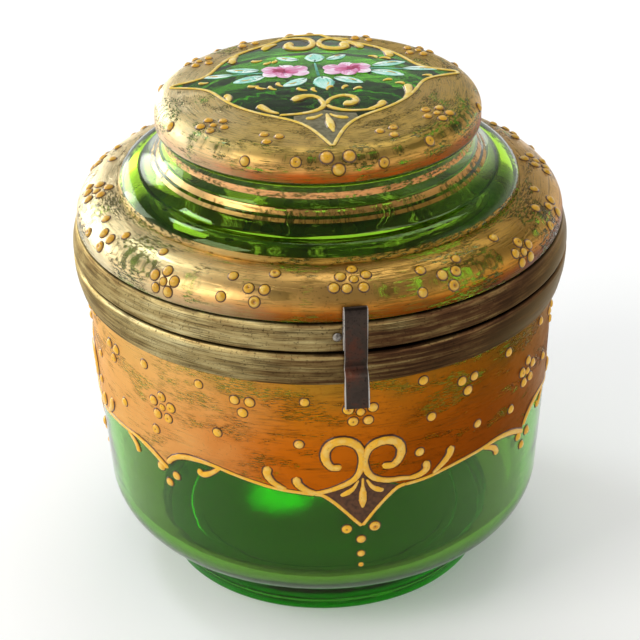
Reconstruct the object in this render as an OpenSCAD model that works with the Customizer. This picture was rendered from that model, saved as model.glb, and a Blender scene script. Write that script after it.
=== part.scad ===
// Hinged glass casket: a bowl and a domed lid of green glass, each set in a brass collar.
// Millimetres, +Z up, front towards -Y. The origin is the centre of the flat underside.

/* [Bowl] */
// Radius of the foot
foot_r = 44; // [42:0.5:45.5]
// Height of the foot
foot_h = 10; // [8:0.5:12]
// Radius of the wall just above the rounded corner
belly_r = 58.7; // [57.5:0.1:60]
// Radius of the rim
rim_r = 60.9; // [60:0.1:62]
// Height of the rim above the table
rim_z = 89; // [84:0.5:96]
// Radius of the rounded corner between foot and wall
corner_r = 13.2; // [12:0.1:14.5]
// Thickness of the bowl's wall
bowl_wall = 3.2; // [2.6:0.1:4]

/* [Lid] */
// Radial width of the gilded shoulder roll
shoulder_w = 11.1; // [10:0.1:12]
// Height of the gilded shoulder roll
shoulder_h = 7.9; // [6.5:0.1:9]
// Radial width of the green tier above the shoulder
tier_w = 5.4; // [4.5:0.1:6]
// Height of the green tier
tier_h = 4.4; // [3.6:0.1:5.2]
// Height of the neck under the top disc
neck_h = 10.4; // [9:0.1:12]
// Radius of the neck at its narrowest
neck_r = 38.9; // [37.5:0.1:39.6]
// Radius of the top disc
disc_r = 41.2; // [40.5:0.1:43]
// Height of the top disc's rounded edge
disc_h = 8.6; // [7.6:0.1:10]
// Rise of the disc's slightly domed top
crown_h = 1; // [0.6:0.1:1.6]
// Thickness of the lid's wall
lid_wall = 2.9; // [2.4:0.1:3.4]

/* [Collars] */
// How far both collars stand out from the rims
collar_out = 3.2; // [2.8:0.1:4]
// Height of the lower collar
low_h = 9.2; // [8:0.1:11]
// Height of the upper collar
up_h = 7.2; // [6.6:0.1:8]
// How much each collar narrows towards its glass
collar_taper = 1.1; // [0.6:0.1:1.3]
// Thickness of the collars' sheet brass
sheet = 0.9; // [0.7:0.05:1]
// Rounding of the collars' edges
edge_r = 1; // [0.9:0.05:1.2]
// Gap between the closed collars
lid_gap = 0.4; // [0.3:0.05:0.6]
// Clearance between glass, plaster and brass
bed_clear = 0.05; // [0.02:0.01:0.08]

/* [Hinge] */
// Outer radius of the knuckles
knuckle_r = 2.2; // [2:0.1:2.6]
// Length of one knuckle
knuckle_len = 4.6; // [4:0.1:5.4]
// Gap between neighbouring knuckles
knuckle_gap = 0.3; // [0.2:0.05:0.4]
// Radius of the hinge pin
pin_r = 1; // [0.8:0.05:1.2]
// Radial clearance of the turning knuckles on the pin
pin_clear = 0.05; // [0.02:0.01:0.08]
// Thickness of the hinge leaves
leaf_t = 0.9; // [0.7:0.05:1.1]
// Clearance between the knuckles and the collars
hinge_clear = 0.4; // [0.35:0.05:0.6]

/* [Clasp] */
// Width of the spring strap
strap_w = 5.8; // [5:0.1:7]
// Thickness of the spring strap
strap_t = 0.8; // [0.6:0.05:0.9]
// Height of the strap's loop above the upper collar
loop_rise = 4.4; // [3.6:0.1:5.2]
// Gap between the strap and what it lies over
strap_gap = 0.35; // [0.3:0.05:0.5]
// How far the thumb tab stands out from the pinch
tab_out = 1.5; // [1:0.1:2]
// Length of the thumb tab
tab_len = 8.6; // [7:0.1:10]

/* [Enamel] */
// Radius of an enamel dot
dot_r = 1.35; // [1:0.05:1.6]
// Height of an enamel dot
dot_h = 0.75; // [0.5:0.05:1]
// Half the width of a raised enamel line
line_w = 0.6; // [0.45:0.05:0.8]
// Height of a raised enamel line
line_h = 0.55; // [0.4:0.05:0.8]
// Radius of the scrolls on the bowl
scroll_r = 4.3; // [3.8:0.1:4.8]
// Radius of the scrolls on the disc
disc_scroll_r = 3.6; // [3.2:0.1:4]
// Radius of the painted window on the disc
window_r = 26.5; // [25:0.5:28]
// How far the painted window sits towards the hinge
window_shift = 5.3; // [4:0.1:6]
// Height of the painted flowers and leaves
paint_h = 0.3; // [0.2:0.05:0.5]

/* [Hidden] */

round_fn = 96;
small_fn = 32;
touch = 0.02;             // joins that lie face to face keep this much air

// Heights that the pieces share
foot_bevel = 0.8;
foot_flare = 0.7;
foot_step = 1.3;          // rise from the foot's edge to the corner's start
corner_z = foot_h + foot_step + corner_r;
low_top_z = rim_z + 2 * bed_clear + sheet;
low_bottom_z = low_top_z - low_h;
up_bottom_z = low_top_z + lid_gap;
up_top_z = up_bottom_z + up_h;
lid_rim_z = up_bottom_z + sheet + 2 * bed_clear;
collar_r = rim_r + collar_out;
flange_r = rim_r - bowl_wall - 0.2;

// Arc of points round [cx, cy] from angle a0 to a1
function arc(cx, cy, rx, ry, a0, a1, n) =
    [for (i = [0:n]) let (a = a0 + (a1 - a0) * i / n) [cx + rx * cos(a), cy + ry * sin(a)]];
function reverse(list) = [for (i = [len(list) - 1:-1:0]) list[i]];
function unit(v) = v / norm(v);

// Bowl profile as [radius, height]
wall_top_z = low_bottom_z - 0.2;
function wall_r(z) = belly_r + (rim_r - belly_r) * sin(90 * (z - corner_z) / (wall_top_z - corner_z));
wall_points = [for (i = [1:8]) let (z = corner_z + (wall_top_z - corner_z) * i / 8) [wall_r(z), z]];
bowl_outer = concat(
    [[foot_r - foot_bevel, 0], [foot_r, foot_bevel], [foot_r + foot_flare, foot_h]],
    arc(belly_r - corner_r, corner_z, corner_r, corner_r, -90, 0, 12),
    wall_points,
    [[rim_r, rim_z - foot_bevel], [rim_r - foot_bevel / 2, rim_z]]);
bowl_inner = concat(
    arc(belly_r - corner_r, corner_z, corner_r - bowl_wall, corner_r - bowl_wall, -90, 0, 10),
    [for (p = wall_points) [p[0] - bowl_wall, p[1]]],
    [[rim_r - bowl_wall, rim_z]]);
bowl_table = [for (p = bowl_outer) [p[1], p[0]]];

// Lid profile: rim, shoulder roll, green tier, neck and top disc
lid_rim_r = rim_r + 0.1;
rim_top_z = up_top_z + 0.2;
shoulder_dip = 1.1;                           // how far the roll turns in under its widest place
shoulder_z = rim_top_z + shoulder_dip;
shoulder_c = collar_r - 1.5 - shoulder_w;     // the roll's centre, so that it ends inside the collar
tier_z = shoulder_z + shoulder_h;
tier_c = shoulder_c - tier_w;
step_z = tier_z + tier_h;
neck_z = step_z + neck_h;
disc_low_r = 1.3;
disc_rx = 5.7;
disc_c = disc_r - disc_rx;
disc_ry = disc_h * 0.54;
disc_z = neck_z + disc_h - disc_ry;
crown_z = disc_z + disc_ry + crown_h;
function cove(t) = [neck_r + (tier_c - neck_r) * pow(1 - t, 2.2), step_z + neck_h * pow(t, 1.15)];
function crown(r) = crown_z - crown_h * pow(r / disc_c, 2);
lid_upper = concat(
    arc(shoulder_c, shoulder_z, shoulder_w, shoulder_h, -asin(shoulder_dip / shoulder_h), 90, 14),
    arc(tier_c, tier_z, tier_w, tier_h, 8, 90, 9),
    [for (i = [1:9]) cove(i / 9)],
    arc(disc_r - disc_low_r, neck_z + disc_low_r, disc_low_r, disc_low_r, -75, 0, 5),
    arc(disc_c, disc_z, disc_rx, disc_ry, 0, 90, 12),
    [for (r = [27, 18, 9, 0]) [r, crown(r)]]);
lid_inner = concat(
    [[lid_rim_r - bowl_wall, lid_rim_z], [lid_rim_r - bowl_wall, rim_top_z]],
    arc(shoulder_c, shoulder_z, shoulder_w - lid_wall - 1.5, shoulder_h - lid_wall, 0, 90, 9),
    arc(tier_c - 0.8 * lid_wall, tier_z - 0.6 * lid_wall, tier_w, tier_h - 0.4 * lid_wall, 15, 90, 6),
    [for (i = [3:9]) let (c = cove(i / 9)) [min(c[0], disc_r) - lid_wall, c[1] - 0.3]],
    arc(disc_c, disc_z, disc_rx - lid_wall, disc_ry - lid_wall, -30, 90, 9),
    [for (r = [27, 18, 9, 0]) [r, crown(r) - lid_wall]]);
disc_edge = arc(disc_c, disc_z, disc_rx, disc_ry, 90, 0, 12);
disc_table = concat([for (r = [0, 9, 18, 27]) [r, crown(r)]], disc_edge);

module glass_bowl() color([0.10, 0.50, 0.12, 0.6])
    rotate_extrude($fn = round_fn)
        polygon(concat([[0, 0]], bowl_outer, reverse(bowl_inner), [[0, bowl_inner[0][1]]]));

module glass_lid() color([0.10, 0.50, 0.12, 0.6])
    rotate_extrude($fn = round_fn)
        polygon(concat(
            [[lid_rim_r, lid_rim_z], [lid_rim_r, rim_top_z]],
            lid_upper, reverse(lid_inner)));

// Collars: an outer wall that narrows towards the glass, and a flange that covers its rim
function collar_wall(t) = collar_r - collar_taper * pow(1 - t, 2);
function collar_face(z0, dir, h, inset) =
    [for (i = [0:6]) let (t = i / 6, depth = edge_r + (1 - t) * (h - 2 * edge_r))
        [collar_wall(t) - inset, z0 - dir * depth]];
function collar_section(z0, dir, h, glass_r) = let (lip_z = z0 - dir * h) concat(
    [[flange_r, z0 - dir * sheet], [flange_r, z0]],
    arc(collar_r - edge_r, z0 - dir * edge_r, edge_r, dir * edge_r, 90, 15, 5),
    reverse(collar_face(z0, dir, h, 0)),
    arc(collar_wall(0) - edge_r, lip_z + dir * edge_r, edge_r, dir * edge_r, -15, -90, 5),
    [[glass_r + 0.3, lip_z], [glass_r + 0.3, lip_z + dir * sheet]],
    [[collar_wall(0) - sheet, lip_z + dir * sheet]],
    collar_face(z0, dir, h, sheet),
    [[collar_r - sheet, z0 - dir * sheet]]);
function bedding_section(z0, dir, h, glass_r) = concat(
    [[glass_r + bed_clear, z0 - dir * (h - sheet - bed_clear)]],
    [[collar_wall(0) - sheet - bed_clear, z0 - dir * (h - sheet - bed_clear)]],
    collar_face(z0, dir, h, sheet + bed_clear),
    [[glass_r + bed_clear, z0 - dir * edge_r]]);

module lower_collar() color([0.45, 0.36, 0.20])
    rotate_extrude($fn = round_fn) polygon(collar_section(low_top_z, 1, low_h, rim_r));

module upper_collar() color([0.45, 0.36, 0.20])
    rotate_extrude($fn = round_fn) polygon(collar_section(up_bottom_z, -1, up_h, lid_rim_r));

module lower_bedding() color([0.85, 0.82, 0.74])
    rotate_extrude($fn = round_fn) polygon(bedding_section(low_top_z, 1, low_h, rim_r));

module upper_bedding() color([0.85, 0.82, 0.74])
    rotate_extrude($fn = round_fn) polygon(bedding_section(up_bottom_z, -1, up_h, lid_rim_r));

// Hinge, soldered on at the back: five knuckles in turn from each leaf, on one pin
hinge_y = collar_r + hinge_clear + knuckle_r;
hinge_z = (low_top_z + up_bottom_z) / 2;
hinge_len = 5 * knuckle_len + 4 * knuckle_gap;
leaf_end = 0.8;           // how far the leaves run on past the end knuckles
leaf_turn = asin((hinge_len / 2 + leaf_end) / collar_r);
function knuckle_x(i) = -hinge_len / 2 + i * (knuckle_len + knuckle_gap);
function leaf_section(z0, dir, h, leaf_z) = let (
        face = collar_face(z0, dir, h, -leaf_gap),
        inner = [for (p = face) if (dir * (leaf_z - p[1]) > 0) p],
        top_r = lookup(leaf_z, [for (p = face) [p[1], p[0]]]))
    concat(inner, [[top_r, leaf_z], [top_r + leaf_t, leaf_z]],
        reverse([for (p = inner) [p[0] + leaf_t, p[1]]]));

leaf_gap = 0.06;          // solder line between the leaves and the collars
web_in = 2;               // how deep a knuckle's web starts behind the collar's face, before it is cut to it
web_inset = 0.15;         // keeps the web's flat side off the knuckle's tangent
web_gap = leaf_gap + 0.1; // a web ends this far from the collar, inside the leaf's thickness
web_lap = 0.3;            // how far the foot of a web laps over the web and past the leaf
// One leaf: dir is 1 for the lower one and -1 for the upper one
module hinge_leaf(dir, z0, h, knuckles, bore_r) {
    leaf_z = hinge_z - dir * knuckle_r;
    web_h = knuckle_r - web_inset;
    rotate([0, 0, 90 - leaf_turn])
        rotate_extrude(angle = 2 * leaf_turn, $fn = round_fn)
            polygon(leaf_section(z0, dir, h, leaf_z));
    difference() {
        for (i = knuckles) translate([knuckle_x(i), 0, 0]) {
            translate([0, hinge_y, hinge_z]) rotate([0, 90, 0])
                cylinder(r = knuckle_r, h = knuckle_len, $fn = 48);
            translate([0, collar_r - web_in, dir > 0 ? hinge_z - web_h : hinge_z])
                cube([knuckle_len, hinge_y - collar_r + web_in, web_h]);
            translate([0, collar_r - web_in, dir > 0 ? leaf_z - leaf_t : leaf_z - web_lap])
                cube([knuckle_len, web_in + leaf_t + web_lap, leaf_t + web_lap]);
        }
        rotate_extrude($fn = round_fn)
            polygon(concat([[0, z0 - dir * h]], collar_face(z0, dir, h, -web_gap),
                [[collar_r + web_gap, z0 + dir], [0, z0 + dir]]));
        translate([-hinge_len, hinge_y, hinge_z]) rotate([0, 90, 0])
            cylinder(r = bore_r, h = 2 * hinge_len, $fn = 48);
    }
}

module hinge_lower_leaf() color([0.42, 0.34, 0.20])
    hinge_leaf(1, low_top_z, low_h, [0, 2, 4], pin_r + touch);

module hinge_upper_leaf() color([0.42, 0.34, 0.20])
    hinge_leaf(-1, up_bottom_z, up_h, [1, 3], pin_r + pin_clear);

// The pin is peened over at both ends
module hinge_pin() color([0.55, 0.47, 0.30]) {
    head_h = 0.8;
    half = hinge_len / 2 + touch;
    translate([0, hinge_y, hinge_z]) rotate([0, 90, 0])
        rotate_extrude($fn = 48) polygon([[0, -half - head_h], [pin_r, -half - head_h],
            [pin_r + 0.5, -half - head_h / 2], [pin_r + 0.5, -half], [pin_r, -half],
            [pin_r, half], [pin_r + 0.5, half], [pin_r + 0.5, half + head_h / 2],
            [pin_r, half + head_h], [0, half + head_h]]);
}

// Clasp: one strip of spring brass, folded over at the top like a hairpin
back_y = collar_r + touch;                    // distances are towards the front
back_t = 0.7;
loop_z = up_top_z + loop_rise;
loop_in = 0.15;
loop_y = back_y + back_t + loop_in;
strap_y = loop_y + loop_in + strap_t / 2;
pinch_y = collar_r + strap_gap + strap_t / 2;
pinch_z = low_top_z - 2.9;
tab_z = pinch_z - 1.5;
strap_line = concat(
    arc(loop_y, loop_z, -loop_in - strap_t / 2, loop_in + strap_t / 2, 0, 180, 8),
    [[strap_y + 0.06, loop_z - 6], [strap_y + 0.15, up_bottom_z + 1.5]],
    [[strap_y, low_top_z - 0.6], [pinch_y + 0.12, pinch_z + 1], [pinch_y, pinch_z]],
    [[pinch_y + 0.25, pinch_z - 0.7], [pinch_y + 0.62 * tab_out, tab_z + 0.3]],
    [[pinch_y + tab_out, tab_z - 0.5], [pinch_y + tab_out + 0.25, tab_z - 0.35 * tab_len]],
    [[pinch_y + tab_out + 0.8, tab_z - tab_len]]);
// Closed outline of a strip of thickness t along a line of points
function strip(line, t) = let (n = len(line) - 1,
        side = [for (i = [0:n]) let (d = unit(line[min(i + 1, n)] - line[max(i - 1, 0)]))
            [d[1], -d[0]] * t / 2])
    concat([for (i = [0:n]) line[i] + side[i]], [for (i = [n:-1:0]) line[i] - side[i]]);
// Stands a [distance to the front, height] outline up across the clasp
module across(w) translate([-w / 2, 0, 0]) rotate([90, 0, -90]) mirror([0, 0, 1])
    linear_extrude(w) children();

module clasp_strap() color([0.22, 0.17, 0.13])
    across(strap_w) polygon(strip(strap_line, strap_t));

module clasp_back_leaf() color([0.22, 0.17, 0.13])
    across(strap_w) translate([back_y, up_bottom_z + edge_r])
        square([back_t, loop_z - 0.3 - up_bottom_z - edge_r]);

blob_r = 1.1;
// Solder fills the wedge between the back leaf and the collar, and shows as a blob beside it
module clasp_solder() color([0.60, 0.58, 0.52]) {
    face = [for (p = collar_face(up_bottom_z, -1, up_h, -touch)) if (p[0] < collar_r - touch) p];
    solder_turn = asin(strap_w / 2 / collar_r);
    rotate([0, 0, -90 - solder_turn]) rotate_extrude(angle = 2 * solder_turn, $fn = round_fn)
        polygon(concat(face, [[collar_r, face[len(face) - 1][1]], [collar_r, face[0][1]]]));
    blob = [[-strap_w / 2 - blob_r - 0.1, -collar_wall(0.62) - touch, up_top_z - 3], [-0.06, -1, 0]];
    dot([blob[0], unit(blob[1])], blob_r, 0.7);
}

// Enamel laid on the glass. A place is [point, outward normal]
skin = 0.05;
function bowl_place(az, z) = let (r = lookup(z, bowl_table) + skin,
        slope = lookup(z + 1, bowl_table) - lookup(z - 1, bowl_table))
    [[r * sin(az), -r * cos(az), z], unit([2 * sin(az), -2 * cos(az), -slope])];
function shoulder_place(az, a) = let (r = shoulder_c + (shoulder_w + skin) * cos(a),
        n = [cos(a) / shoulder_w, sin(a) / shoulder_h])
    [[r * sin(az), -r * cos(az), shoulder_z + (shoulder_h + skin) * sin(a)],
        unit([n[0] * sin(az), -n[0] * cos(az), n[1]])];
function edge_place(az, a) = let (r = disc_c + (disc_rx + skin) * cos(a),
        n = [cos(a) / disc_rx, sin(a) / disc_ry])
    [[r * sin(az), -r * cos(az), disc_z + (disc_ry + skin) * sin(a)],
        unit([n[0] * sin(az), -n[0] * cos(az), n[1]])];
function disc_place(x, y) = let (r = max(norm([x, y]), 0.01), step = 0.5,
        slope = (lookup(r + step, disc_table) - lookup(max(r - step, 0), disc_table))
            / (r + step - max(r - step, 0)))
    [[x, y, lookup(r, disc_table) + skin], unit([-slope * x / r, -slope * y / r, 1])];

// Round drop of enamel with a flat underside
module dot(place, r = dot_r, h = dot_h) {
    ball_r = (r * r + h * h) / (2 * h);
    n = place[1];
    translate(place[0]) rotate([0, acos(n[2]), atan2(n[1], n[0])])
        intersection() {
            translate([0, 0, h - ball_r]) sphere(r = ball_r, $fn = small_fn);
            cylinder(r = 2 * r, h = 2 * h, $fn = small_fn);
        }
}

// Flower of six dots, and triangle of three, as offsets in millimetres
flower_r = 3.1;
six = concat([[0, 0, 0.8]], [for (i = [0:4]) [flower_r * sin(72 * i), flower_r * cos(72 * i), 1]]);
three = [for (i = [0:2]) [2.2 * sin(120 * i + 60), 2.2 * cos(120 * i + 60), 1]];
border_z = 48.2;
degree = PI * wall_r(border_z) / 180;         // one degree round the bowl at its border, in millimetres
// Dots of a group round one place of the bowl or of the shoulder
module bowl_group(group, az, z) for (d = group)
    dot(bowl_place(az + d[0] / degree, z + d[1]), dot_r * d[2]);
module shoulder_group(group, az, a) for (d = group)
    dot(shoulder_place(az + d[0] / degree, a + 6 * d[1]), dot_r * d[2]);

// Raised line with a rounded top. Each station is [point, normal, half width, height]
section = [[-1, 0], [-0.7, 0.75], [0, 1], [0.7, 0.75], [1, 0]];
module bead(line, closed = false) {
    n = len(line);
    k = len(section);
    points = [for (i = [0:n - 1]) let (
            a = line[closed ? (i + n - 1) % n : max(i - 1, 0)][0],
            b = line[closed ? (i + 1) % n : min(i + 1, n - 1)][0],
            side = unit(cross(b - a, line[i][1])))
        for (c = section) line[i][0] + side * c[0] * line[i][2] + line[i][1] * c[1] * line[i][3]];
    rings = [for (i = [0:(closed ? n - 1 : n - 2)]) for (j = [0:k - 1])
        let (i2 = (i + 1) % n, j2 = (j + 1) % k) each [
            [i * k + j, i2 * k + j2, i * k + j2], [i * k + j, i2 * k + j, i2 * k + j2]]];
    ends = closed ? [] : [[for (j = [0:k - 1]) j], [for (j = [k - 1:-1:0]) (n - 1) * k + j]];
    polyhedron(points, concat(rings, ends), convexity = 6);
}
// A full line that thins towards both ends, and one that swells into a drop
function swell(t) = 0.35 + 0.75 * sin(180 * t);
function drop(t) = 0.25 + 1.35 * pow(sin(180 * min(1, 0.12 + 0.8 * t)), 3);
function hook(t) = 1.35 - 0.7 * t;

// Bowl ornament: pendants at the front, sides and back, and a cusped border between them
pendant_turn = 1.6;
pendants = [0, 95, 180, 265];
border_rise = 3.8;
cusp_drop = 4.4;
pendant_w = 10.3;                             // half of a pendant's width along the wall
pendant_half = pendant_w / degree;            // and in degrees
peak = 0.74;
function border_height(t) = border_z + (t < peak ? border_rise * sin(90 * t / peak)
    : border_rise - cusp_drop * (1 - cos(90 * (t - peak) / (1 - peak))));
function pendant_gap(i) = (i < 3 ? pendants[i + 1] : 360) - pendants[i];
// Border from a pendant to the next cusp, as [azimuth, height]
function border_run(i, dir) = let (half = pendant_gap(dir > 0 ? i : (i + 3) % 4) / 2)
    [for (s = [0:11]) let (t = s / 11) [pendants[i] + dir * (pendant_half + t * (half - pendant_half)),
        border_height(t)]];
function on_bowl(run, width) = [for (i = [0:len(run) - 1]) let (t = i / (len(run) - 1),
        place = bowl_place(run[i][0] + pendant_turn, run[i][1]), w = width(t))
    [place[0], place[1], line_w * w, line_h * min(1.2, w + 0.2)]];
even = function (t) 1;

module bowl_border() color([0.88, 0.66, 0.18]) for (i = [0:3], dir = [-1, 1]) {
    bead(on_bowl(border_run(i, dir), even));
    // side of the pendant's point
    bead(on_bowl([for (s = [0:6]) let (t = s / 6)
        [pendants[i] + dir * pendant_half * (1 - t), border_z - 10 * pow(t, 0.85)]], function (t) 0.8));
}

// Scroll: an arc from angle a0 that opens into a tail which runs towards the border
scroll_z = 59.6;
scroll_x = 4.9;
stroke_gap = 1.5;         // between the middle lines of two strokes that run side by side without fusing
function scroll_run(r, x0, z0, tail_x, tail_z, a0) = concat(
    arc(-x0, z0, 0.86 * r, r, a0, 15, 13),
    arc(-tail_x, z0, tail_x - x0 + 0.86 * r, z0 - tail_z, 0, -90, 8));
bowl_scroll = scroll_run(scroll_r, scroll_x, scroll_z, pendant_w - 0.8, border_z + stroke_gap, 285);
module bowl_scrolls() color([0.88, 0.66, 0.18]) for (p = pendants, dir = [-1, 1])
    bead(on_bowl([for (q = bowl_scroll) [p + dir * q[0] / degree, q[1]]],
        function (t) 1.5 * swell(0.1 + 0.8 * t)));

// Hooks that spring up from the border, as [distance of the tip along the wall, height, run],
// and one that hangs below it
hooks = [[23.1, 6.4, 5.2], [15.9, 4.2, 4.6]];
hang_x = 35.1;
hang_run = 5;
hang_depth = 1.6;
function border_at(x) = border_height((x / degree - pendant_half) / (pendant_gap(0) / 2 - pendant_half));
module bowl_hooks() color([0.88, 0.66, 0.18]) for (p = pendants, dir = [-1, 1]) {
    for (q = hooks) bead(on_bowl([for (s = [0:7]) let (a = 90 * s / 7)
        [p + dir * (q[0] - q[2] * (1 - cos(a))) / degree,
            border_at(q[0] - q[2]) + stroke_gap + q[1] * (1 - sin(a))]],
        function (t) 1.15 * hook(t)));
    bead(on_bowl([for (s = [0:7]) let (a = 150 * (1 - s / 7))
        [p + dir * (hang_x + hang_run * sin(0.75 * a)) / degree,
            border_at(hang_x) - stroke_gap - hang_depth * (1 - cos(a))]],
        function (t) 1.15 * hook(t)));
}

// Three drops inside each pendant, and the dots that hang from it and from the cusps
module bowl_pendant_drops() color([0.88, 0.66, 0.18]) for (p = pendants, dir = [-1, 0, 1])
    bead(on_bowl([for (s = [0:7]) let (t = s / 7)
        [p + dir * (0.6 + 4.1 * pow(t, 0.8)) / degree,
            dir == 0 ? border_z + 3.4 - 8.6 * t : border_z + 3.2 - 3.6 * pow(t, 1.6)]],
        function (t) drop(t) * (dir == 0 ? 1.1 : 0.9)));

module bowl_pendant_dots() color([0.88, 0.66, 0.18]) for (i = [0:3]) {
    p = pendants[i] + pendant_turn;
    cusp = p + pendant_gap(i) / 2;
    for (d = [[-3.5, 11.2, 1.1], [3.5, 11.2, 1.1], [0, 14.8, 1], [0, 19.4, 0.78], [0, 23.3, 0.52]])
        dot(bowl_place(p + d[0] / degree, border_z - d[1]), dot_r * d[2]);
    for (d = [[-2.5, 1.6, 1.05], [2.5, 2.4, 1.1], [0, 5.6, 0.95]])
        dot(bowl_place(cusp + d[0] / degree, border_z - d[1]), dot_r * d[2]);
}

// Dots scattered over the gilded band
band_z = 71.8;
module bowl_flower_dots() color([0.88, 0.66, 0.18]) for (i = [0:3]) {
    bowl_group(six, pendants[i] + pendant_turn, band_z);
    bowl_group(six, pendants[i] + pendant_gap(i) / 2 + pendant_turn, band_z - 7);
}
module bowl_triple_dots() color([0.88, 0.66, 0.18]) for (p = pendants, dir = [-1, 1])
    bowl_group(three, p + pendant_turn + dir * 27, band_z + 1);
singles = [[-13, 3.4], [14.5, 5.4], [-14.2, -8.8], [16.5, -5], [-33, -8.4], [31, -11], [-38.5, 4.4], [40, 4]];
module bowl_single_dots() color([0.88, 0.66, 0.18]) for (p = pendants, d = singles)
    dot(bowl_place(p + pendant_turn + d[0], band_z + d[1]), dot_r * 0.95);

// Dots on the lid's shoulder
lid_turn = 0.8;
lid_pitch = 45;
module shoulder_flower_dots() color([0.88, 0.66, 0.18]) for (i = [0:7])
    shoulder_group(six, lid_turn + i * lid_pitch, i % 2 == 0 ? 60 : 24);
module shoulder_triple_dots() color([0.88, 0.66, 0.18]) for (i = [0:7])
    shoulder_group(three, lid_turn + (i + 0.5) * lid_pitch, 36);
function lid_singles(i) = [[-10, 62], [10.5, 28], [-4.5, i % 2 == 0 ? 22 : 66], [-32, 52]];
module shoulder_single_dots() color([0.88, 0.66, 0.18]) for (i = [0:7], d = lid_singles(i))
    dot(shoulder_place(lid_turn + i * lid_pitch + d[0], d[1]), dot_r * 0.95);

// Top disc: a painted window with four ogee points, scrolls at front and back, and a spray
disc_turn = -1.6;
window_limit = disc_c + 0.25 * disc_rx;       // the window's points end here, clear of the dots on the edge
function window_rho(a, far, side) = window_r
    + (far - window_r) * (exp(-abs(a - 90) / 7.4) + exp(-abs(a + 90) / 7.4))
    + side * (exp(-abs(a) / 6.5) + exp(-abs(abs(a) - 180) / 6.5));
function window_point(a) = let (rho = window_rho(a, 42, 13),
        p = [rho * cos(a), rho * sin(a) + window_shift])
    p * min(1, window_limit / norm(p));
function on_disc(run, width) = [for (i = [0:len(run) - 1]) let (t = i / (len(run) - 1),
        place = disc_place(run[i][0], run[i][1]), w = width(t))
    [place[0], place[1], line_w * w, line_h * min(1.1, w + 0.2)]];

// Stations of the border, closer together near each of the window's four points
window_steps = [0.5, 1.2, 2, 3, 4.2, 5.6, 7.2, 9.2, 11.6, 14.6, 18.4, 23, 28.4, 34.4, 41];
window_stations = [for (c = [-90, 0, 90, 180]) each
    concat([for (i = [14:-1:0]) c - window_steps[i]], [for (a = window_steps) c + a])];
module disc_border() color([0.88, 0.66, 0.18]) rotate([0, 0, disc_turn])
    bead(on_disc([for (a = window_stations) window_point(a > 180 ? a - 360 : a)], function (t) 0.85),
        closed = true);

// Front and back pair: side of the disc, scroll centre, and where the tail ends
disc_scroll_ends = [[1, -11.5, 10.6, -17.7], [-1, -29.4, 5, -33.4]];
disc_scroll_x = 4.2;
module disc_scrolls() color([0.88, 0.66, 0.18]) rotate([0, 0, disc_turn])
    for (dir = [-1, 1], end = disc_scroll_ends)
        bead(on_disc([for (q = scroll_run(disc_scroll_r, disc_scroll_x, end[1], end[2], end[3], 200))
            [dir * q[0], end[0] * q[1]]], function (t) 1.4 * swell(0.1 + 0.8 * t)));

module disc_pendant_drops() color([0.88, 0.66, 0.18]) rotate([0, 0, disc_turn]) for (dir = [-1, 0, 1])
    bead(on_disc([for (s = [0:7]) let (t = s / 7)
        [dir * (0.5 + 3.8 * pow(t, 0.8)), dir == 0 ? -19.5 - 9 * t : -19.8 - 3.2 * pow(t, 1.6)]],
        function (t) drop(t) * (dir == 0 ? 1.1 : 0.9)));

// How far out the groups lie, at the front and at the back, where the window reaches further
trio_rho = [33, 36.5];
six_rho = [34, 36.2];
// Dot of a group that lies rho from the middle in direction a
module disc_dot(d, a, rho) {
    out = rho - d[1];
    dot(disc_place(out * sin(a) + d[0] * cos(a), d[0] * sin(a) - out * cos(a)), dot_r * 0.9 * d[2]);
}
module disc_edge_dots() color([0.88, 0.66, 0.18]) rotate([0, 0, disc_turn]) {
    for (side = [0, 180]) {
        back = side / 180;
        for (d = [[-4, 48], [3.6, 48], [0, 8]]) dot(edge_place(side + d[0], d[1]), dot_r * 1.15);
        for (d = [[-32, 20], [-14.5, 32], [15, 12], [34.5, 38], [72, 24], [-70, 34]])
            dot(edge_place(side + d[0], d[1]), dot_r * 0.95);
        for (dir = [-1, 1]) {
            for (d = three) disc_dot(d, side + dir * 25.5, trio_rho[back]);
            for (d = six) disc_dot(d, side + dir * 53, six_rho[back]);
        }
    }
}

// Painted spray: two blooms with leaves round them, as thin raised shapes
spray_y = 9;
// Lays a flat shape on the disc at [x, y], turned by a
module lay(x, y, a) {
    place = disc_place(x, y);
    n = place[1];
    translate(place[0]) rotate([0, acos(n[2]), atan2(n[1], n[0])]) rotate([0, 0, a - atan2(n[1], n[0])])
        children();
}
module leaf(l, w) {
    r = (l * l / 4 + w * w / 4) / w;
    linear_extrude(paint_h) translate([l / 2, 0]) intersection() {
        translate([0, r - w / 2]) circle(r = r, $fn = round_fn);
        translate([0, w / 2 - r]) circle(r = r, $fn = round_fn);
    }
}
module disc_blooms() color([0.80, 0.50, 0.62]) rotate([0, 0, disc_turn]) for (dir = [-1, 1])
    lay(dir * 8, spray_y, 90) {
        for (a = [0:60:300]) rotate([0, 0, a]) translate([2.9, 0, 0])
            cylinder(r = 2.7, h = paint_h, $fn = small_fn);
        translate([0, 0, paint_h]) cylinder(r1 = 3.6, r2 = 1.4, h = paint_h, $fn = small_fn);
    }
// Leaves as [direction from the spray's middle, distance, length, width]
leaves = [[90, 5, 8, 4.6], [120, 8, 8, 3], [60, 8, 8, 3], [-78, 3, 10, 5], [-125, 5, 10, 3.6],
    [-52, 5.5, 10, 3.4], [170, 15, 8.5, 3.2], [-163, 15, 8, 3.4], [178, 24.2, 4.4, 1.8],
    [8, 15, 8.5, 3.2], [-17, 15, 8, 3.4], [-2, 24.2, 4.4, 1.8]];
module disc_leaves() color([0.60, 0.86, 0.80]) rotate([0, 0, disc_turn]) for (q = leaves)
    lay(q[1] * cos(q[0]), spray_y + q[1] * sin(q[0]), q[0]) leaf(q[2], q[3]);

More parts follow.
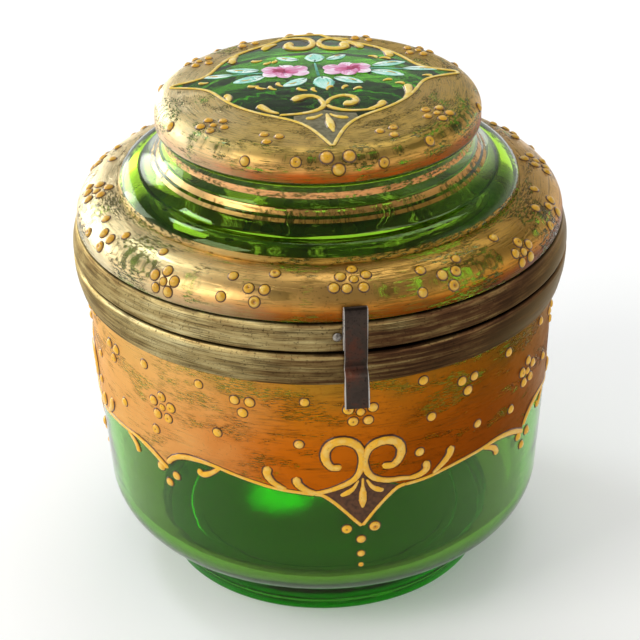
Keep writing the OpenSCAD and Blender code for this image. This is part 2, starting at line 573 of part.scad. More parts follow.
glass_bowl();
lower_bedding();
lower_collar();
hinge_lower_leaf();
hinge_pin();
glass_lid();
upper_bedding();
upper_collar();
hinge_upper_leaf();
clasp_back_leaf();
clasp_solder();
clasp_strap();
bowl_border();
bowl_scrolls();
bowl_hooks();
bowl_pendant_drops();
bowl_pendant_dots();
bowl_flower_dots();
bowl_triple_dots();
bowl_single_dots();
shoulder_flower_dots();
shoulder_triple_dots();
shoulder_single_dots();
disc_border();
disc_scrolls();
disc_pendant_drops();
disc_edge_dots();
disc_blooms();
disc_leaves();
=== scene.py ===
import math
import random

import bmesh
import bpy
import numpy as np
from mathutils import Matrix, Vector


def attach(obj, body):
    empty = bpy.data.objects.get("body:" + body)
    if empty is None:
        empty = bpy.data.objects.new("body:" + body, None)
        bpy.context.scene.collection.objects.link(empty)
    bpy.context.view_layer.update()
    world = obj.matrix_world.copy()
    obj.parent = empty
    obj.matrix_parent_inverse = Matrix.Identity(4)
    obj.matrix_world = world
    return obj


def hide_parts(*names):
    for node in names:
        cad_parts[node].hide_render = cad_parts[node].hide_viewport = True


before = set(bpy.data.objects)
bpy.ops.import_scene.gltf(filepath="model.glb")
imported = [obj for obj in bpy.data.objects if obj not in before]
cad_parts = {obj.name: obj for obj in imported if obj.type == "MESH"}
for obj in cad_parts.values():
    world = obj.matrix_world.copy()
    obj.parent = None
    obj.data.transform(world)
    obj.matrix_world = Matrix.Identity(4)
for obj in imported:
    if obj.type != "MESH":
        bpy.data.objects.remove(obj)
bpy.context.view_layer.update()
mm = 0.001


# meshes and outlines, all outlines are (radius, height) in millimetres

def arc(cx, cy, rx, ry, start, end, count):
    turns = [math.radians(start + (end - start) * i / count) for i in range(count + 1)]
    return [(cx + rx * math.cos(t), cy + ry * math.sin(t)) for t in turns]


def makePiece(name, points, faces, material, sharp=None, outward=True):
    mesh = bpy.data.meshes.new(name)
    mesh.from_pydata([tuple(p) for p in points], [], faces)
    if outward:
        work = bmesh.new()
        work.from_mesh(mesh)
        bmesh.ops.recalc_face_normals(work, faces=work.faces)
        work.to_mesh(mesh)
        work.free()
    mesh.shade_smooth()
    if sharp:
        mesh.set_sharp_from_angle(angle=math.radians(sharp))
    mesh.materials.append(material)
    piece = bpy.data.objects.new(name, mesh)
    bpy.context.scene.collection.objects.link(piece)
    return piece


def lathe(name, outline, material, closed=False, segments=192, sharp=None, wobble=None):
    points, rows = [], []
    for r, z in outline:
        if r < 1e-6:
            rows.append([len(points)])
            points.append((0, 0, z * mm))
            continue
        rows.append(range(len(points), len(points) + segments))
        for k in range(segments):
            turn = 2 * math.pi * k / segments
            out = (r + (wobble(turn, z) if wobble else 0)) * mm
            points.append((out * math.sin(turn), -out * math.cos(turn), z * mm))
    faces = []
    for a, b in list(zip(rows, rows[1:])) + ([(rows[-1], rows[0])] if closed else []):
        for k in range(segments):
            j = (k + 1) % segments
            loop = list(dict.fromkeys([a[k % len(a)], a[j % len(a)], b[j % len(b)], b[k % len(b)]]))
            if len(loop) > 2:
                faces.append(loop)
    return makePiece(name, points, faces, material, sharp)


def skinOver(name, grid, low, high, material, closed=True):
    # a thin closed shell over rows of (point, way out), rows down and columns around
    points, normals = (np.array([[place[i] for place in row] for row in grid]) for i in (0, 1))
    rows, columns = points.shape[:2]
    sheets = [points + normals * high * mm, points + normals * low * mm]
    count = rows * columns
    last = columns if closed else columns - 1
    faces = []
    for i in range(rows - 1):
        for k in range(last):
            j = (k + 1) % columns
            a, b, c, d = i * columns + k, i * columns + j, (i + 1) * columns + j, (i + 1) * columns + k
            faces += [(a, b, c, d), (count + d, count + c, count + b, count + a)]
    for i in (0, rows - 1):
        for k in range(last):
            a, b = i * columns + k, i * columns + (k + 1) % columns
            faces.append((a, count + a, count + b, b) if i == 0 else (b, count + b, count + a, a))
    if not closed:
        for k in (0, columns - 1):
            for i in range(rows - 1):
                a, b = i * columns + k, (i + 1) * columns + k
                faces.append((b, count + b, count + a, a) if k == 0 else (a, count + a, count + b, b))
    return makePiece(name, np.concatenate([s.reshape(-1, 3) for s in sheets]), faces, material, sharp=60)


# node helpers

def setInputs(tree, node, values):
    # a socket is linked, anything else is set on the node's own socket
    for key, value in values.items():
        if isinstance(value, bpy.types.NodeSocket):
            tree.links.new(value, node.inputs[key])
        else:
            node.inputs[key].default_value = value


def addNode(tree, kind, inputs=None, **settings):
    node = tree.nodes.new(kind)
    for key, value in settings.items():
        setattr(node, key, value)
    setInputs(tree, node, inputs or {})
    return node


def mathOf(tree, operation, *values, clamp=False):
    return addNode(tree, "ShaderNodeMath", dict(enumerate(values)),
                   operation=operation, use_clamp=clamp).outputs[0]


def vectorOf(tree, operation, a, b=None):
    inputs = {0: a}
    if b is not None:
        inputs["Scale" if operation == "SCALE" else 1] = b
    node = addNode(tree, "ShaderNodeVectorMath", inputs, operation=operation)
    return node.outputs["Value" if operation in ("LENGTH", "DISTANCE", "DOT_PRODUCT") else "Vector"]


def mixOf(tree, factor, a, b, blend="MIX"):
    return addNode(tree, "ShaderNodeMix", {0: factor, 6: a, 7: b},
                   data_type="RGBA", blend_type=blend).outputs[2]


def rangeOf(tree, value, low, high, outLow=0.0, outHigh=1.0, smooth=True):
    return addNode(tree, "ShaderNodeMapRange", {0: value, 1: low, 2: high, 3: outLow, 4: outHigh},
                   interpolation_type="SMOOTHSTEP" if smooth else "LINEAR").outputs[0]


def rampOf(tree, value, stops):
    node = addNode(tree, "ShaderNodeValToRGB", {0: value})
    ramp = node.color_ramp
    while len(ramp.elements) < len(stops):
        ramp.elements.new(0.5)
    for element, (place, colour) in zip(ramp.elements, stops):
        element.position = place
        element.color = (*colour, 1)
    return node.outputs[0]


def noiseOf(tree, vector, scale, detail, roughness=0.5, distortion=0.0):
    return addNode(tree, "ShaderNodeTexNoise", {
        "Vector": vector, "Scale": scale, "Detail": detail, "Roughness": roughness,
        "Distortion": distortion}).outputs["Fac"]


def bumpOf(tree, height, strength, distance):
    return addNode(tree, "ShaderNodeBump", {
        "Strength": strength, "Distance": distance, "Height": height}).outputs[0]


def placeOf(tree):
    return addNode(tree, "ShaderNodeTexCoord").outputs["Object"]


def partsOf(tree, vector):
    return addNode(tree, "ShaderNodeSeparateXYZ", {0: vector}).outputs


def vectorFrom(tree, parts):
    return addNode(tree, "ShaderNodeCombineXYZ", parts).outputs[0]


def rgb(r, g, b):
    # a colour as it shows on screen, made linear
    return tuple((c / 255 / 12.92) if c <= 10 else ((c / 255 + 0.055) / 1.055) ** 2.4 for c in (r, g, b))


def rgba(r, g, b):
    return (*rgb(r, g, b), 1)


def startGroup(name, inputs, outputs):
    group = bpy.data.node_groups.new(name, "ShaderNodeTree")
    for label, value in inputs.items():
        kind = "NodeSocketVector" if value is None else "NodeSocketFloat"
        socket = group.interface.new_socket(label, in_out="INPUT", socket_type=kind)
        if value is not None:
            socket.default_value = value
    for label in outputs:
        kind = "NodeSocketVector" if label == "Vector" else "NodeSocketFloat"
        group.interface.new_socket(label, in_out="OUTPUT", socket_type=kind)
    return group, group.nodes.new("NodeGroupInput").outputs, group.nodes.new("NodeGroupOutput")


def useGroup(tree, group, **inputs):
    node = tree.nodes.new("ShaderNodeGroup")
    node.node_tree = group
    setInputs(tree, node, inputs)
    return node.outputs[0]


def startMaterial(name):
    material = bpy.data.materials.new(name)
    material.use_nodes = True
    material.node_tree.nodes.clear()
    return material, material.node_tree


def principled(material, values):
    body = addNode(material.node_tree, "ShaderNodeBsdfPrincipled", values)
    addNode(material.node_tree, "ShaderNodeOutputMaterial", {"Surface": body.outputs[0]})
    return material


# effects that several materials share

# coordinates that run round a turned piece without a seam
ringCoordinates, given, result = startGroup("ringCoordinates", {"Around": 1.0, "Across": 1.0}, ["Vector"])
tree = ringCoordinates
parts = partsOf(tree, placeOf(tree))
flat = vectorFrom(tree, {0: parts[0], 1: parts[1]})
around = vectorOf(tree, "SCALE", vectorOf(tree, "NORMALIZE", flat), given["Around"])
reach = mathOf(tree, "ADD", vectorOf(tree, "LENGTH", flat), parts[2])
upward = vectorFrom(tree, {2: mathOf(tree, "MULTIPLY", reach, given["Across"])})
tree.links.new(vectorOf(tree, "ADD", around, upward), result.inputs["Vector"])


def ringPlace(tree, around, across):
    return useGroup(tree, ringCoordinates, Around=around, Across=across)


# patches where a surface has worn: Amount is the share that is gone
wearPatches, given, result = startGroup(
    "wearPatches", {"Vector": None, "Scale": 60.0, "Amount": 0.3, "Softness": 0.05, "Detail": 6.0}, ["Mask"])
tree = wearPatches
cloud = noiseOf(tree, given["Vector"], given["Scale"], given["Detail"], roughness=0.62)
middle = mathOf(tree, "MULTIPLY_ADD", given["Amount"], -0.36, 0.68)
upper = mathOf(tree, "ADD", middle, given["Softness"])
tree.links.new(rangeOf(tree, cloud, middle, upper, smooth=False), result.inputs["Mask"])

# fine scratches that run round a turned piece
ringScratches, given, result = startGroup(
    "ringScratches", {"Around": 6.0, "Across": 9000.0, "Amount": 0.3, "Break": 40.0}, ["Mask"])
tree = ringScratches
streak = noiseOf(tree, ringPlace(tree, given["Around"], given["Across"]), 1.0, 3.0, roughness=0.6)
gaps = noiseOf(tree, ringPlace(tree, given["Break"], 900.0), 0.35, 2.0)
level = mathOf(tree, "MULTIPLY_ADD", given["Amount"], -0.3, 0.78)
shown = mathOf(tree, "ADD", streak, mathOf(tree, "MULTIPLY_ADD", gaps, 0.5, -0.25))
mask = rangeOf(tree, shown, level, mathOf(tree, "ADD", level, 0.06), smooth=False)
tree.links.new(mask, result.inputs["Mask"])


def scratchesOf(tree, run, amount):
    # run: how often the pattern repeats around, across, and in the breaks between scratches
    return useGroup(tree, ringScratches, Around=run[0], Across=run[1], Break=run[2], Amount=amount)


# glass

glassLook = dict(
    # the foot's and lid's tints are painted light, the corner's painted shade, the knob's deep and lit colours
    # painted shade and light
    surface=(0.58, 0.59, 0.33, 1), footPaintedLight=(0.5, 0.76, 0.42, 1), cornerPaintedShade=(0.34, 0.29, 0.14, 1),
    lidPaintedLight=(0.98, 1.0, 0.42, 1), knobPaintedShade=(0.08, 0.26, 0.05, 1), knobPaintedLight=(0.30, 0.75, 0.22, 1),
    footZ=(9, 13), cornerZ=(15, 30), lidZ=(98, 106), knobZ=(122.5, 124.5),
    depthColour=(0.42, 0.95, 0.0, 1), density=255.0, shadow=(0.49, 0.47, 0.25, 1), gleam=(0.6, 0.8, 0.32, 1),
    roughness=0.012, dustRoughness=0.06, dustScale=700.0, ior=1.48, waveScale=26.0, waveDepth=0.00028,
    ringRun=(2.0, 260.0), ringShare=0.14, flow=(60, 240, 60))


def glassMaterial(name, look):
    material, tree = startMaterial(name)
    place = placeOf(tree)
    waves = noiseOf(tree, place, look["waveScale"], 1.0)
    rings = noiseOf(tree, ringPlace(tree, *look["ringRun"]), 1.0, 1.0)
    bump = bumpOf(tree, mathOf(tree, "MULTIPLY_ADD", rings, look["ringShare"], waves), 1.0, look["waveDepth"])
    dust = noiseOf(tree, place, look["dustScale"], 4.0)
    rough = rangeOf(tree, dust, 0.55, 0.8, look["roughness"], look["roughness"] + look["dustRoughness"])
    # the tint changes with the height: painted light in a lighter green foot, painted shade in a dark olive-brown
    # corner, the wall, painted light in a lighter lid, and painted light and shade swirled through the disc's glass
    height = partsOf(tree, place)[2]
    foot, corner, upper, knob = (rangeOf(tree, height, *(z * mm for z in look[key]))
                                 for key in ("footZ", "cornerZ", "lidZ", "knobZ"))
    swirl = noiseOf(tree, vectorOf(tree, "MULTIPLY", place, look["flow"]), 1.0, 4.0, distortion=0.9)
    deep = mixOf(tree, rangeOf(tree, swirl, 0.48, 0.66), look["knobPaintedShade"], look["knobPaintedLight"])
    tint = mixOf(tree, corner, mixOf(tree, foot, look["footPaintedLight"], look["cornerPaintedShade"]), look["surface"])
    tint = mixOf(tree, knob, mixOf(tree, upper, tint, look["lidPaintedLight"]), deep)
    body = addNode(tree, "ShaderNodeBsdfPrincipled", {
        "Base Color": tint, "Roughness": rough, "IOR": look["ior"], "Normal": bump, "Specular Tint": look["gleam"]})
    body.inputs["Transmission Weight"].default_value = 1.0
    # light passes through to the floor as through thin tinted glass
    clear = addNode(tree, "ShaderNodeBsdfTransparent", {"Color": look["shadow"]})
    shadowRay = addNode(tree, "ShaderNodeLightPath").outputs["Is Shadow Ray"]
    mixed = addNode(tree, "ShaderNodeMixShader", {0: shadowRay, 1: body.outputs[0], 2: clear.outputs[0]})
    depth = addNode(tree, "ShaderNodeVolumeAbsorption", {"Color": look["depthColour"], "Density": look["density"]})
    addNode(tree, "ShaderNodeOutputMaterial", {"Surface": mixed.outputs[0], "Volume": depth.outputs[0]})
    return material


greenGlass = glassMaterial("greenGlass", glassLook)
limeGlass = glassMaterial("limeGlass", dict(
    glassLook, depthColour=(0.72, 0.97, 0.0, 1), shadow=(0.7, 0.7, 0.4, 1)))


# gilding: what all of it shares, each kind then adds its own

gildingLook = dict(
    metallic=1.0, roughness=0.34, rim=(1, 1, 1, 1), toneScale=55.0, rippleScale=260.0,
    brushRun=(5.0, 5200.0, 18.0), brushShare=0.55, speckScale=1500.0, speckShare=0.55,
    # the spans across the piece of the painted shade on the right and the painted light on the left
    paintedShadeSide=(-0.02, 0.038), paleSide=(-0.012, -0.06), wearSides=0.0, wearSide=(0.02, 0.055), bare=[],
    scratchRun=(7.0, 8000.0, 26.0), scratchShare=0.75, dashRun=(34.0, 3400.0))


def gildingMaterial(name, **own):
    look = dict(gildingLook, **own)
    material, tree = startMaterial(name)
    place = placeOf(tree)
    parts = partsOf(tree, place)
    side, height = parts[0], parts[2]
    # colour runs up the piece by height: on the shoulder this paints reflections, on the disc painted shade under its
    # edge
    step = rangeOf(tree, height, look["lowZ"] * mm, look["highZ"] * mm)
    tone = noiseOf(tree, place, look["toneScale"], 5.0, roughness=0.6)
    shifted = mathOf(tree, "MULTIPLY_ADD", tone, look["toneShift"], -look["toneShift"] / 2)
    colour = rampOf(tree, mathOf(tree, "ADD", step, shifted, clamp=True), look["stops"])
    brushed = scratchesOf(tree, look["brushRun"], look["brush"])
    colour = mixOf(tree, mathOf(tree, "MULTIPLY", brushed, look["brushShare"]), colour, look["brushColour"])
    speck = noiseOf(tree, place, look["speckScale"], 3.0)
    colour = mixOf(tree, rangeOf(tree, speck, 0.6, 0.72, 0.0, look["speckShare"]), colour, look["speckColour"])
    # painted light and shade: darker towards the right as painted shade, paler towards the left as painted light
    across = mathOf(tree, "MULTIPLY_ADD", tone, 0.03, mathOf(tree, "SUBTRACT", side, 0.015))
    paintedShadeColour = mixOf(tree, 1.0, colour, look["deep"], "MULTIPLY")
    colour = mixOf(tree, rangeOf(tree, across, *look["paintedShadeSide"]), colour, paintedShadeColour)
    colour = mixOf(tree, rangeOf(tree, across, *look["paleSide"], 0.0, look["paleShare"]), colour, look["pale"])
    # how much is gone: more upwards, at the sides and round the bare spots
    amount = mathOf(tree, "MULTIPLY_ADD", step, look["wearRise"], look["wear"])
    sides = rangeOf(tree, mathOf(tree, "ABSOLUTE", side), *look["wearSide"], 0.0, look["wearSides"])
    amount = mathOf(tree, "ADD", amount, sides)
    for x, y, z, radius, share in look["bare"]:
        away = vectorOf(tree, "DISTANCE", place, (x * mm, y * mm, z * mm))
        amount = mathOf(tree, "ADD", amount, rangeOf(tree, away, radius * mm, radius * mm * 0.2, 0.0, share))
    ring = ringPlace(tree, 3.0, look["wearAcross"])
    patches = useGroup(tree, wearPatches, Vector=ring, Scale=1.0, Amount=amount, Softness=0.06, Detail=7.0)
    dashes = noiseOf(tree, ringPlace(tree, *look["dashRun"]), 1.0, 4.0)
    patches = mathOf(tree, "MULTIPLY", patches, rangeOf(tree, dashes, 0.4, 0.58, 0.1, 1.0))
    fine = mathOf(tree, "MULTIPLY", scratchesOf(tree, look["scratchRun"], look["scratch"]), look["scratchShare"])
    gone = mathOf(tree, "MAXIMUM", mathOf(tree, "MULTIPLY", patches, look["wearDepth"]), fine)
    ripple = noiseOf(tree, place, look["rippleScale"], 4.0)
    return principled(material, {
        "Base Color": colour, "Metallic": look["metallic"], "Specular Tint": look["rim"],
        "Alpha": mathOf(tree, "SUBTRACT", 1.0, gone, clamp=True),
        "Roughness": rangeOf(tree, tone, 0.3, 0.7, look["roughness"] - 0.06, look["roughness"] + 0.1),
        "Normal": bumpOf(tree, mathOf(tree, "MULTIPLY_ADD", brushed, -0.35, ripple), 0.6, look["ripple"])})


# each kind's pale colour and its share are painted light on the left; deep darkens the right as painted shade
bodyGold = gildingMaterial(
    "bodyGold", lowZ=44, highZ=82, toneShift=0.5, ripple=0.00016, rim=(0.97, 0.8, 0.58, 1),
    stops=[(0.0, rgb(184, 92, 12)), (0.5, rgb(190, 100, 16)), (0.85, rgb(186, 110, 24)), (1.0, rgb(164, 116, 36))],
    pale=rgba(246, 196, 122), paleShare=0.72, deep=(0.42, 0.34, 0.16, 1),
    brush=0.6, brushColour=rgba(128, 80, 20), speckColour=rgba(96, 58, 18),
    wearAcross=150.0, wear=0.3, wearRise=0.24, wearDepth=0.7, scratch=0.5)
# the shoulder's colours up its height are painted reflections: a dark orange-brown band low by the collar, paler
# olive gold above
shoulderGold = gildingMaterial(
    "shoulderGold", lowZ=97, highZ=107, toneShift=0.6, ripple=0.00018,
    stops=[(0.0, rgb(112, 54, 8)), (0.22, rgb(148, 84, 26)), (0.38, rgb(202, 136, 58)), (0.6, rgb(222, 170, 92)),
           (1.0, rgb(214, 170, 96))],
    pale=rgba(236, 224, 176), paleShare=0.7, deep=(0.74, 0.7, 0.45, 1),
    brush=0.8, brushColour=rgba(130, 106, 46), speckColour=rgba(120, 90, 40),
    wearAcross=230.0, wear=0.42, wearRise=0.06, wearSides=0.1, wearDepth=0.9, scratch=0.55,
    bare=[(31.2, -51.9, 103.4, 13, 0.5), (20.6, -56.7, 103.7, 10, 0.26), (-50.0, -35.0, 103.0, 14, 0.24),
          (-38.6, -47.7, 102.5, 11, 0.16), (-27.9, -54.7, 102.5, 9, 0.1), (51.4, -32.1, 103.4, 12, 0.34),
          (-59.4, -9.4, 103.9, 10, 0.2), (46, 42, 103, 16, 0.4), (-30, 54, 103, 15, 0.4)])
# the disc's colours by height darken under its edge as painted shade
discGold = gildingMaterial(
    "discGold", lowZ=121, highZ=131, toneShift=0.5, ripple=0.00018, roughness=0.4,
    stops=[(0.0, rgb(140, 66, 8)), (0.3, rgb(182, 94, 36)), (0.5, rgb(208, 154, 84)), (1.0, rgb(206, 174, 96))],
    pale=rgba(255, 242, 202), paleShare=0.85, deep=(0.84, 0.8, 0.6, 1),
    brush=0.9, brushColour=rgba(118, 104, 44), speckColour=rgba(120, 94, 40),
    wearAcross=230.0, wear=0.4, wearRise=0.06, wearDepth=0.85, scratch=0.6,
    bare=[(32.9, -19.8, 129.5, 10, 0.5), (23.4, -28.9, 130.0, 9, 0.2), (-29.9, -21.7, 130.0, 8, 0.16),
          (-20, 33, 130, 10, 0.3)])
neckGold = gildingMaterial(
    "neckGold", lowZ=106, highZ=122, toneShift=0.4, ripple=0.00015,
    stops=[(0.0, rgb(164, 126, 54)), (0.4, rgb(190, 150, 66)), (0.75, rgb(214, 160, 100)), (1.0, rgb(214, 150, 98))],
    pale=rgba(244, 226, 170), paleShare=0.5, deep=(0.85, 0.8, 0.65, 1),
    brush=0.5, brushColour=rgba(96, 84, 32), speckColour=rgba(90, 70, 30),
    wearAcross=400.0, wear=0.66, wearRise=0.0, wearDepth=0.95, scratch=0.5)


# raised enamel: lift runs from 0 at the painted outline to 1 on top of a line or dot

enamelLook = dict(
    crest=0.5, gloss=0.3, coatRoughness=0.09, toneScale=420.0, pitScale=2300.0, pitShare=0.6, pitDepth=0.00006,
    outlineLift=(0.12, 0.5), crestLift=(0.7, 1.0))


def attributeOf(tree, name):
    return addNode(tree, "ShaderNodeAttribute", attribute_name=name).outputs["Fac"]


def enamelMaterial(name, **own):
    look = dict(enamelLook, **own)
    material, tree = startMaterial(name)
    place = placeOf(tree)
    lift = attributeOf(tree, "lift")
    tone = noiseOf(tree, place, look["toneScale"], 3.0)
    colour = mixOf(tree, rangeOf(tree, tone, 0.35, 0.65), look["colour"], look["deep"])
    colour = mixOf(tree, rangeOf(tree, lift, *look["outlineLift"]), look["outline"], colour)
    # painted highlight: the tops of lines and dots are lightened towards the light colour, in patches
    crest = mathOf(tree, "MULTIPLY", rangeOf(tree, lift, *look["crestLift"]),
                   rangeOf(tree, tone, 0.42, 0.6, 0.0, look["crest"]))
    colour = mixOf(tree, crest, colour, look["light"])
    pits = noiseOf(tree, place, look["pitScale"], 2.0)
    return principled(material, {
        "Base Color": mixOf(tree, rangeOf(tree, pits, 0.66, 0.74, 0.0, look["pitShare"]), colour, look["outline"]),
        "Roughness": rangeOf(tree, pits, 0.3, 0.7, look["roughness"], look["roughness"] + 0.15),
        "Normal": bumpOf(tree, pits, 0.5, look["pitDepth"]), "Specular IOR Level": look["gloss"],
        "Coat Weight": look["coat"], "Coat Roughness": look["coatRoughness"]})


# each enamel's light colour is its painted highlight
yellowEnamel = enamelMaterial(
    "yellowEnamel", colour=rgba(244, 184, 34), deep=rgba(224, 152, 16), light=rgba(255, 224, 112),
    outline=rgba(74, 36, 10), roughness=0.34, coat=0.3)
amberEnamel = enamelMaterial(
    "amberEnamel", colour=rgba(212, 158, 18), deep=rgba(182, 126, 6), light=rgba(244, 214, 96),
    outline=rgba(84, 54, 12), roughness=0.3, gloss=0.35, coat=0.4)
strawEnamel = enamelMaterial(
    "strawEnamel", colour=rgba(228, 194, 66), deep=rgba(206, 162, 34), light=rgba(252, 238, 160),
    outline=rgba(84, 66, 14), crest=0.6, roughness=0.32, coat=0.35)

# brush strokes: tone is what the brush was loaded with, across and along follow its hairs

paintLook = dict(hairs=5.0, hairLength=1.2, streaks=1.1, clouds=0.5, cloudScale=450.0, roughness=0.4, gloss=0.35,
                 relief=0.00008)


def paintMaterial(name, **own):
    look = dict(paintLook, **own)
    material, tree = startMaterial(name)
    tone, across, along = (attributeOf(tree, key) for key in ("tone", "across", "along"))
    # hairs run along the stroke, from another place in the noise for each tone
    hairs = vectorFrom(tree, {0: mathOf(tree, "MULTIPLY", across, look["hairs"]),
                              1: mathOf(tree, "MULTIPLY", along, look["hairLength"]),
                              2: mathOf(tree, "MULTIPLY", tone, 57.0)})
    streak = noiseOf(tree, hairs, 1.0, 4.0, roughness=0.6)
    loaded = tone
    for value, share in ((streak, look["streaks"]), (along, look["fade"]),
                         (noiseOf(tree, placeOf(tree), look["cloudScale"], 3.0), look["clouds"])):
        loaded = mathOf(tree, "MULTIPLY_ADD", mathOf(tree, "SUBTRACT", value, 0.5), share, loaded)
    return principled(material, {
        "Base Color": rampOf(tree, loaded, look["stops"]), "Roughness": look["roughness"],
        "Normal": bumpOf(tree, streak, 0.8, look["relief"]), "Specular IOR Level": look["gloss"]})


petalPaint = paintMaterial("petalPaint", fade=0.35, stops=[
    (0.0, rgb(150, 22, 70)), (0.22, rgb(196, 70, 120)), (0.5, rgb(214, 138, 178)), (0.75, rgb(232, 186, 214)),
    (1.0, rgb(250, 240, 248))])
leafPaint = paintMaterial("leafPaint", fade=0.3, stops=[
    (0.0, rgb(14, 78, 62)), (0.25, rgb(76, 164, 142)), (0.5, rgb(150, 216, 200)), (0.75, rgb(208, 238, 228)),
    (1.0, rgb(240, 248, 238))])


# brass: stops run from tarnished to clean, bands hold (height, brightness) up the piece: painted highlights and
# painted shade

brassLook = dict(
    metallic=1.0, rim=(0.92, 0.8, 0.62, 1), relief=0.00008, paleFrom=0.012, paleTo=-0.05, paleShift=0.0, edges=[],
    brightest=2.5, scratchRun=(4.0, 6500.0, 22.0), scratchShare=0.6, speckScale=1800.0, speckShare=0.6)


def brassMaterial(name, **own):
    look = dict(brassLook, **own)
    material, tree = startMaterial(name)
    place = placeOf(tree)
    parts = partsOf(tree, place)
    side, height = parts[0], parts[2]
    cloud = noiseOf(tree, ringPlace(tree, *look["streakRun"]), 1.0, 7.0, roughness=0.65)
    blotch = noiseOf(tree, place, look["blotchScale"], 5.0, roughness=0.6)
    tarnishAndLight = mathOf(tree, "MULTIPLY_ADD", cloud, look["streakShare"],
                     mathOf(tree, "MULTIPLY", blotch, 1 - look["streakShare"]))
    # painted light and shade: the left side is pushed towards the clean end of the stops, brighter as if lit, the
    # right a little darker
    shift = look["paleShift"]
    paintedLeftLight = rangeOf(tree, side, look["paleFrom"], look["paleTo"], -0.25 * shift, 0.75 * shift)
    tarnishAndLight = mathOf(tree, "ADD", tarnishAndLight, paintedLeftLight)
    colour = rampOf(tree, tarnishAndLight, look["stops"])
    # painted light and shade: the colour is brightened and darkened in bands up the piece
    lowest, highest = look["bands"][0][0], look["bands"][-1][0]
    level = rangeOf(tree, height, lowest * mm, highest * mm, smooth=False)
    shares = [((z - lowest) / (highest - lowest), (share / look["brightest"],) * 3) for z, share in look["bands"]]
    paintedBandLight = vectorOf(tree, "SCALE", rampOf(tree, level, shares), look["brightest"])
    colour = mixOf(tree, 1.0, colour, paintedBandLight, "MULTIPLY")
    # painted highlight: paler strips by the distance sideways, along the piece's edges
    for low, high, share, pale in look["edges"]:
        edge = rangeOf(tree, mathOf(tree, "ABSOLUTE", side), low * mm, high * mm, 0.0, share)
        colour = mixOf(tree, edge, colour, pale)
    scratch = mathOf(tree, "MULTIPLY", scratchesOf(tree, look["scratchRun"], look["scratch"]), look["scratchShare"])
    colour = mixOf(tree, scratch, colour, look["scratchColour"])
    speck = noiseOf(tree, place, look["speckScale"], 3.0)
    colour = mixOf(tree, rangeOf(tree, speck, 0.58, 0.7, 0.0, look["speckShare"]), colour, look["speckColour"])
    return principled(material, {
        "Base Color": colour,
        "Roughness": rangeOf(tree, tarnishAndLight, 0.35, 0.65, look["roughLow"], look["roughHigh"]),
        "Normal": bumpOf(tree, mathOf(tree, "MULTIPLY_ADD", speck, 0.3, tarnishAndLight), 0.5, look["relief"]),
        "Metallic": look["metallic"], "Specular Tint": look["rim"]})


# the collars are painted brighter towards the left as painted light
collarBrass = brassMaterial(
    "collarBrass", streakRun=(3.4, 1000.0), streakShare=0.6, blotchScale=42.0, paleFrom=0.024, paleShift=0.24,
    stops=[(0.38, rgb(46, 28, 18)), (0.48, rgb(74, 50, 30)), (0.58, rgb(120, 98, 60)), (0.68, rgb(164, 146, 98)),
           (0.8, rgb(196, 182, 134))],
    # painted highlights near each collar's upper edge, painted shade at the lower lip, in the gap between the collars
    # and where the upper collar meets the gilding
    bands=[(80.8, 0.25), (81.3, 0.9), (88.4, 1.0), (89.2, 1.7), (89.7, 1.8), (89.95, 0.5), (90.5, 0.4), (90.9, 1.0),
           (95.9, 1.0), (96.6, 1.7), (97.1, 1.6), (97.35, 0.3), (97.6, 0.2)],
    scratch=0.8, scratchColour=rgba(40, 26, 16), speckColour=rgba(34, 22, 14), roughLow=0.3, roughHigh=0.48)
claspBrass = brassMaterial(
    "claspBrass", streakRun=(3.0, 120.0), streakShare=0.3, blotchScale=110.0, relief=0.0001, metallic=0.95,
    stops=[(0.36, rgb(40, 34, 32)), (0.5, rgb(60, 50, 44)), (0.6, rgb(84, 50, 38)), (0.7, rgb(112, 92, 74))],
    # a painted highlight on the thumb tab's ledge, a little darker at both ends
    bands=[(76.9, 0.8), (77.4, 1.0), (84.9, 1.05), (85.5, 2.2), (86.3, 2.0), (86.9, 0.8), (94.0, 0.9), (101.4, 1.1),
           (102.2, 0.8)],
    # a painted highlight along both sides of the strip
    edges=[(2.5, 2.82, 0.8, rgba(200, 196, 190))],
    scratch=0.25, scratchColour=rgba(130, 116, 100), speckColour=rgba(28, 22, 20), roughLow=0.3, roughHigh=0.46)
pinBrass = brassMaterial(
    "pinBrass", streakRun=(2.0, 300.0), streakShare=0.4, blotchScale=60.0, bands=[(78.0, 1.0), (100.0, 1.0)],
    stops=[(0.36, rgb(70, 54, 34)), (0.5, rgb(122, 100, 60)), (0.66, rgb(176, 154, 98))],
    scratch=0.4, scratchColour=rgba(60, 44, 28), speckColour=rgba(50, 38, 26), roughLow=0.32, roughHigh=0.5)


# plain grained stuff: the flat enamel grounds, and the solder and plaster that were cast

grainLook = dict(scale=900.0, detail=4.0, grain=0.5, grainRange=(0.35, 0.7), bump=0.4, relief=0.00005, gloss=0.25,
                 roughness=0.5, metallic=0.0)
castLook = dict(detail=6.0, grain=0.7, grainRange=(0.35, 0.65), bump=0.7, relief=0.0002, gloss=0.5)


def grainMaterial(name, first, second, **own):
    look = dict(grainLook, **own)
    material, tree = startMaterial(name)
    grain = noiseOf(tree, placeOf(tree), look["scale"], look["detail"], roughness=look["grain"])
    return principled(material, {
        "Base Color": mixOf(tree, rangeOf(tree, grain, *look["grainRange"]), first, second),
        "Roughness": look["roughness"], "Normal": bumpOf(tree, grain, look["bump"], look["relief"]),
        "Specular IOR Level": look["gloss"], "Metallic": look["metallic"]})


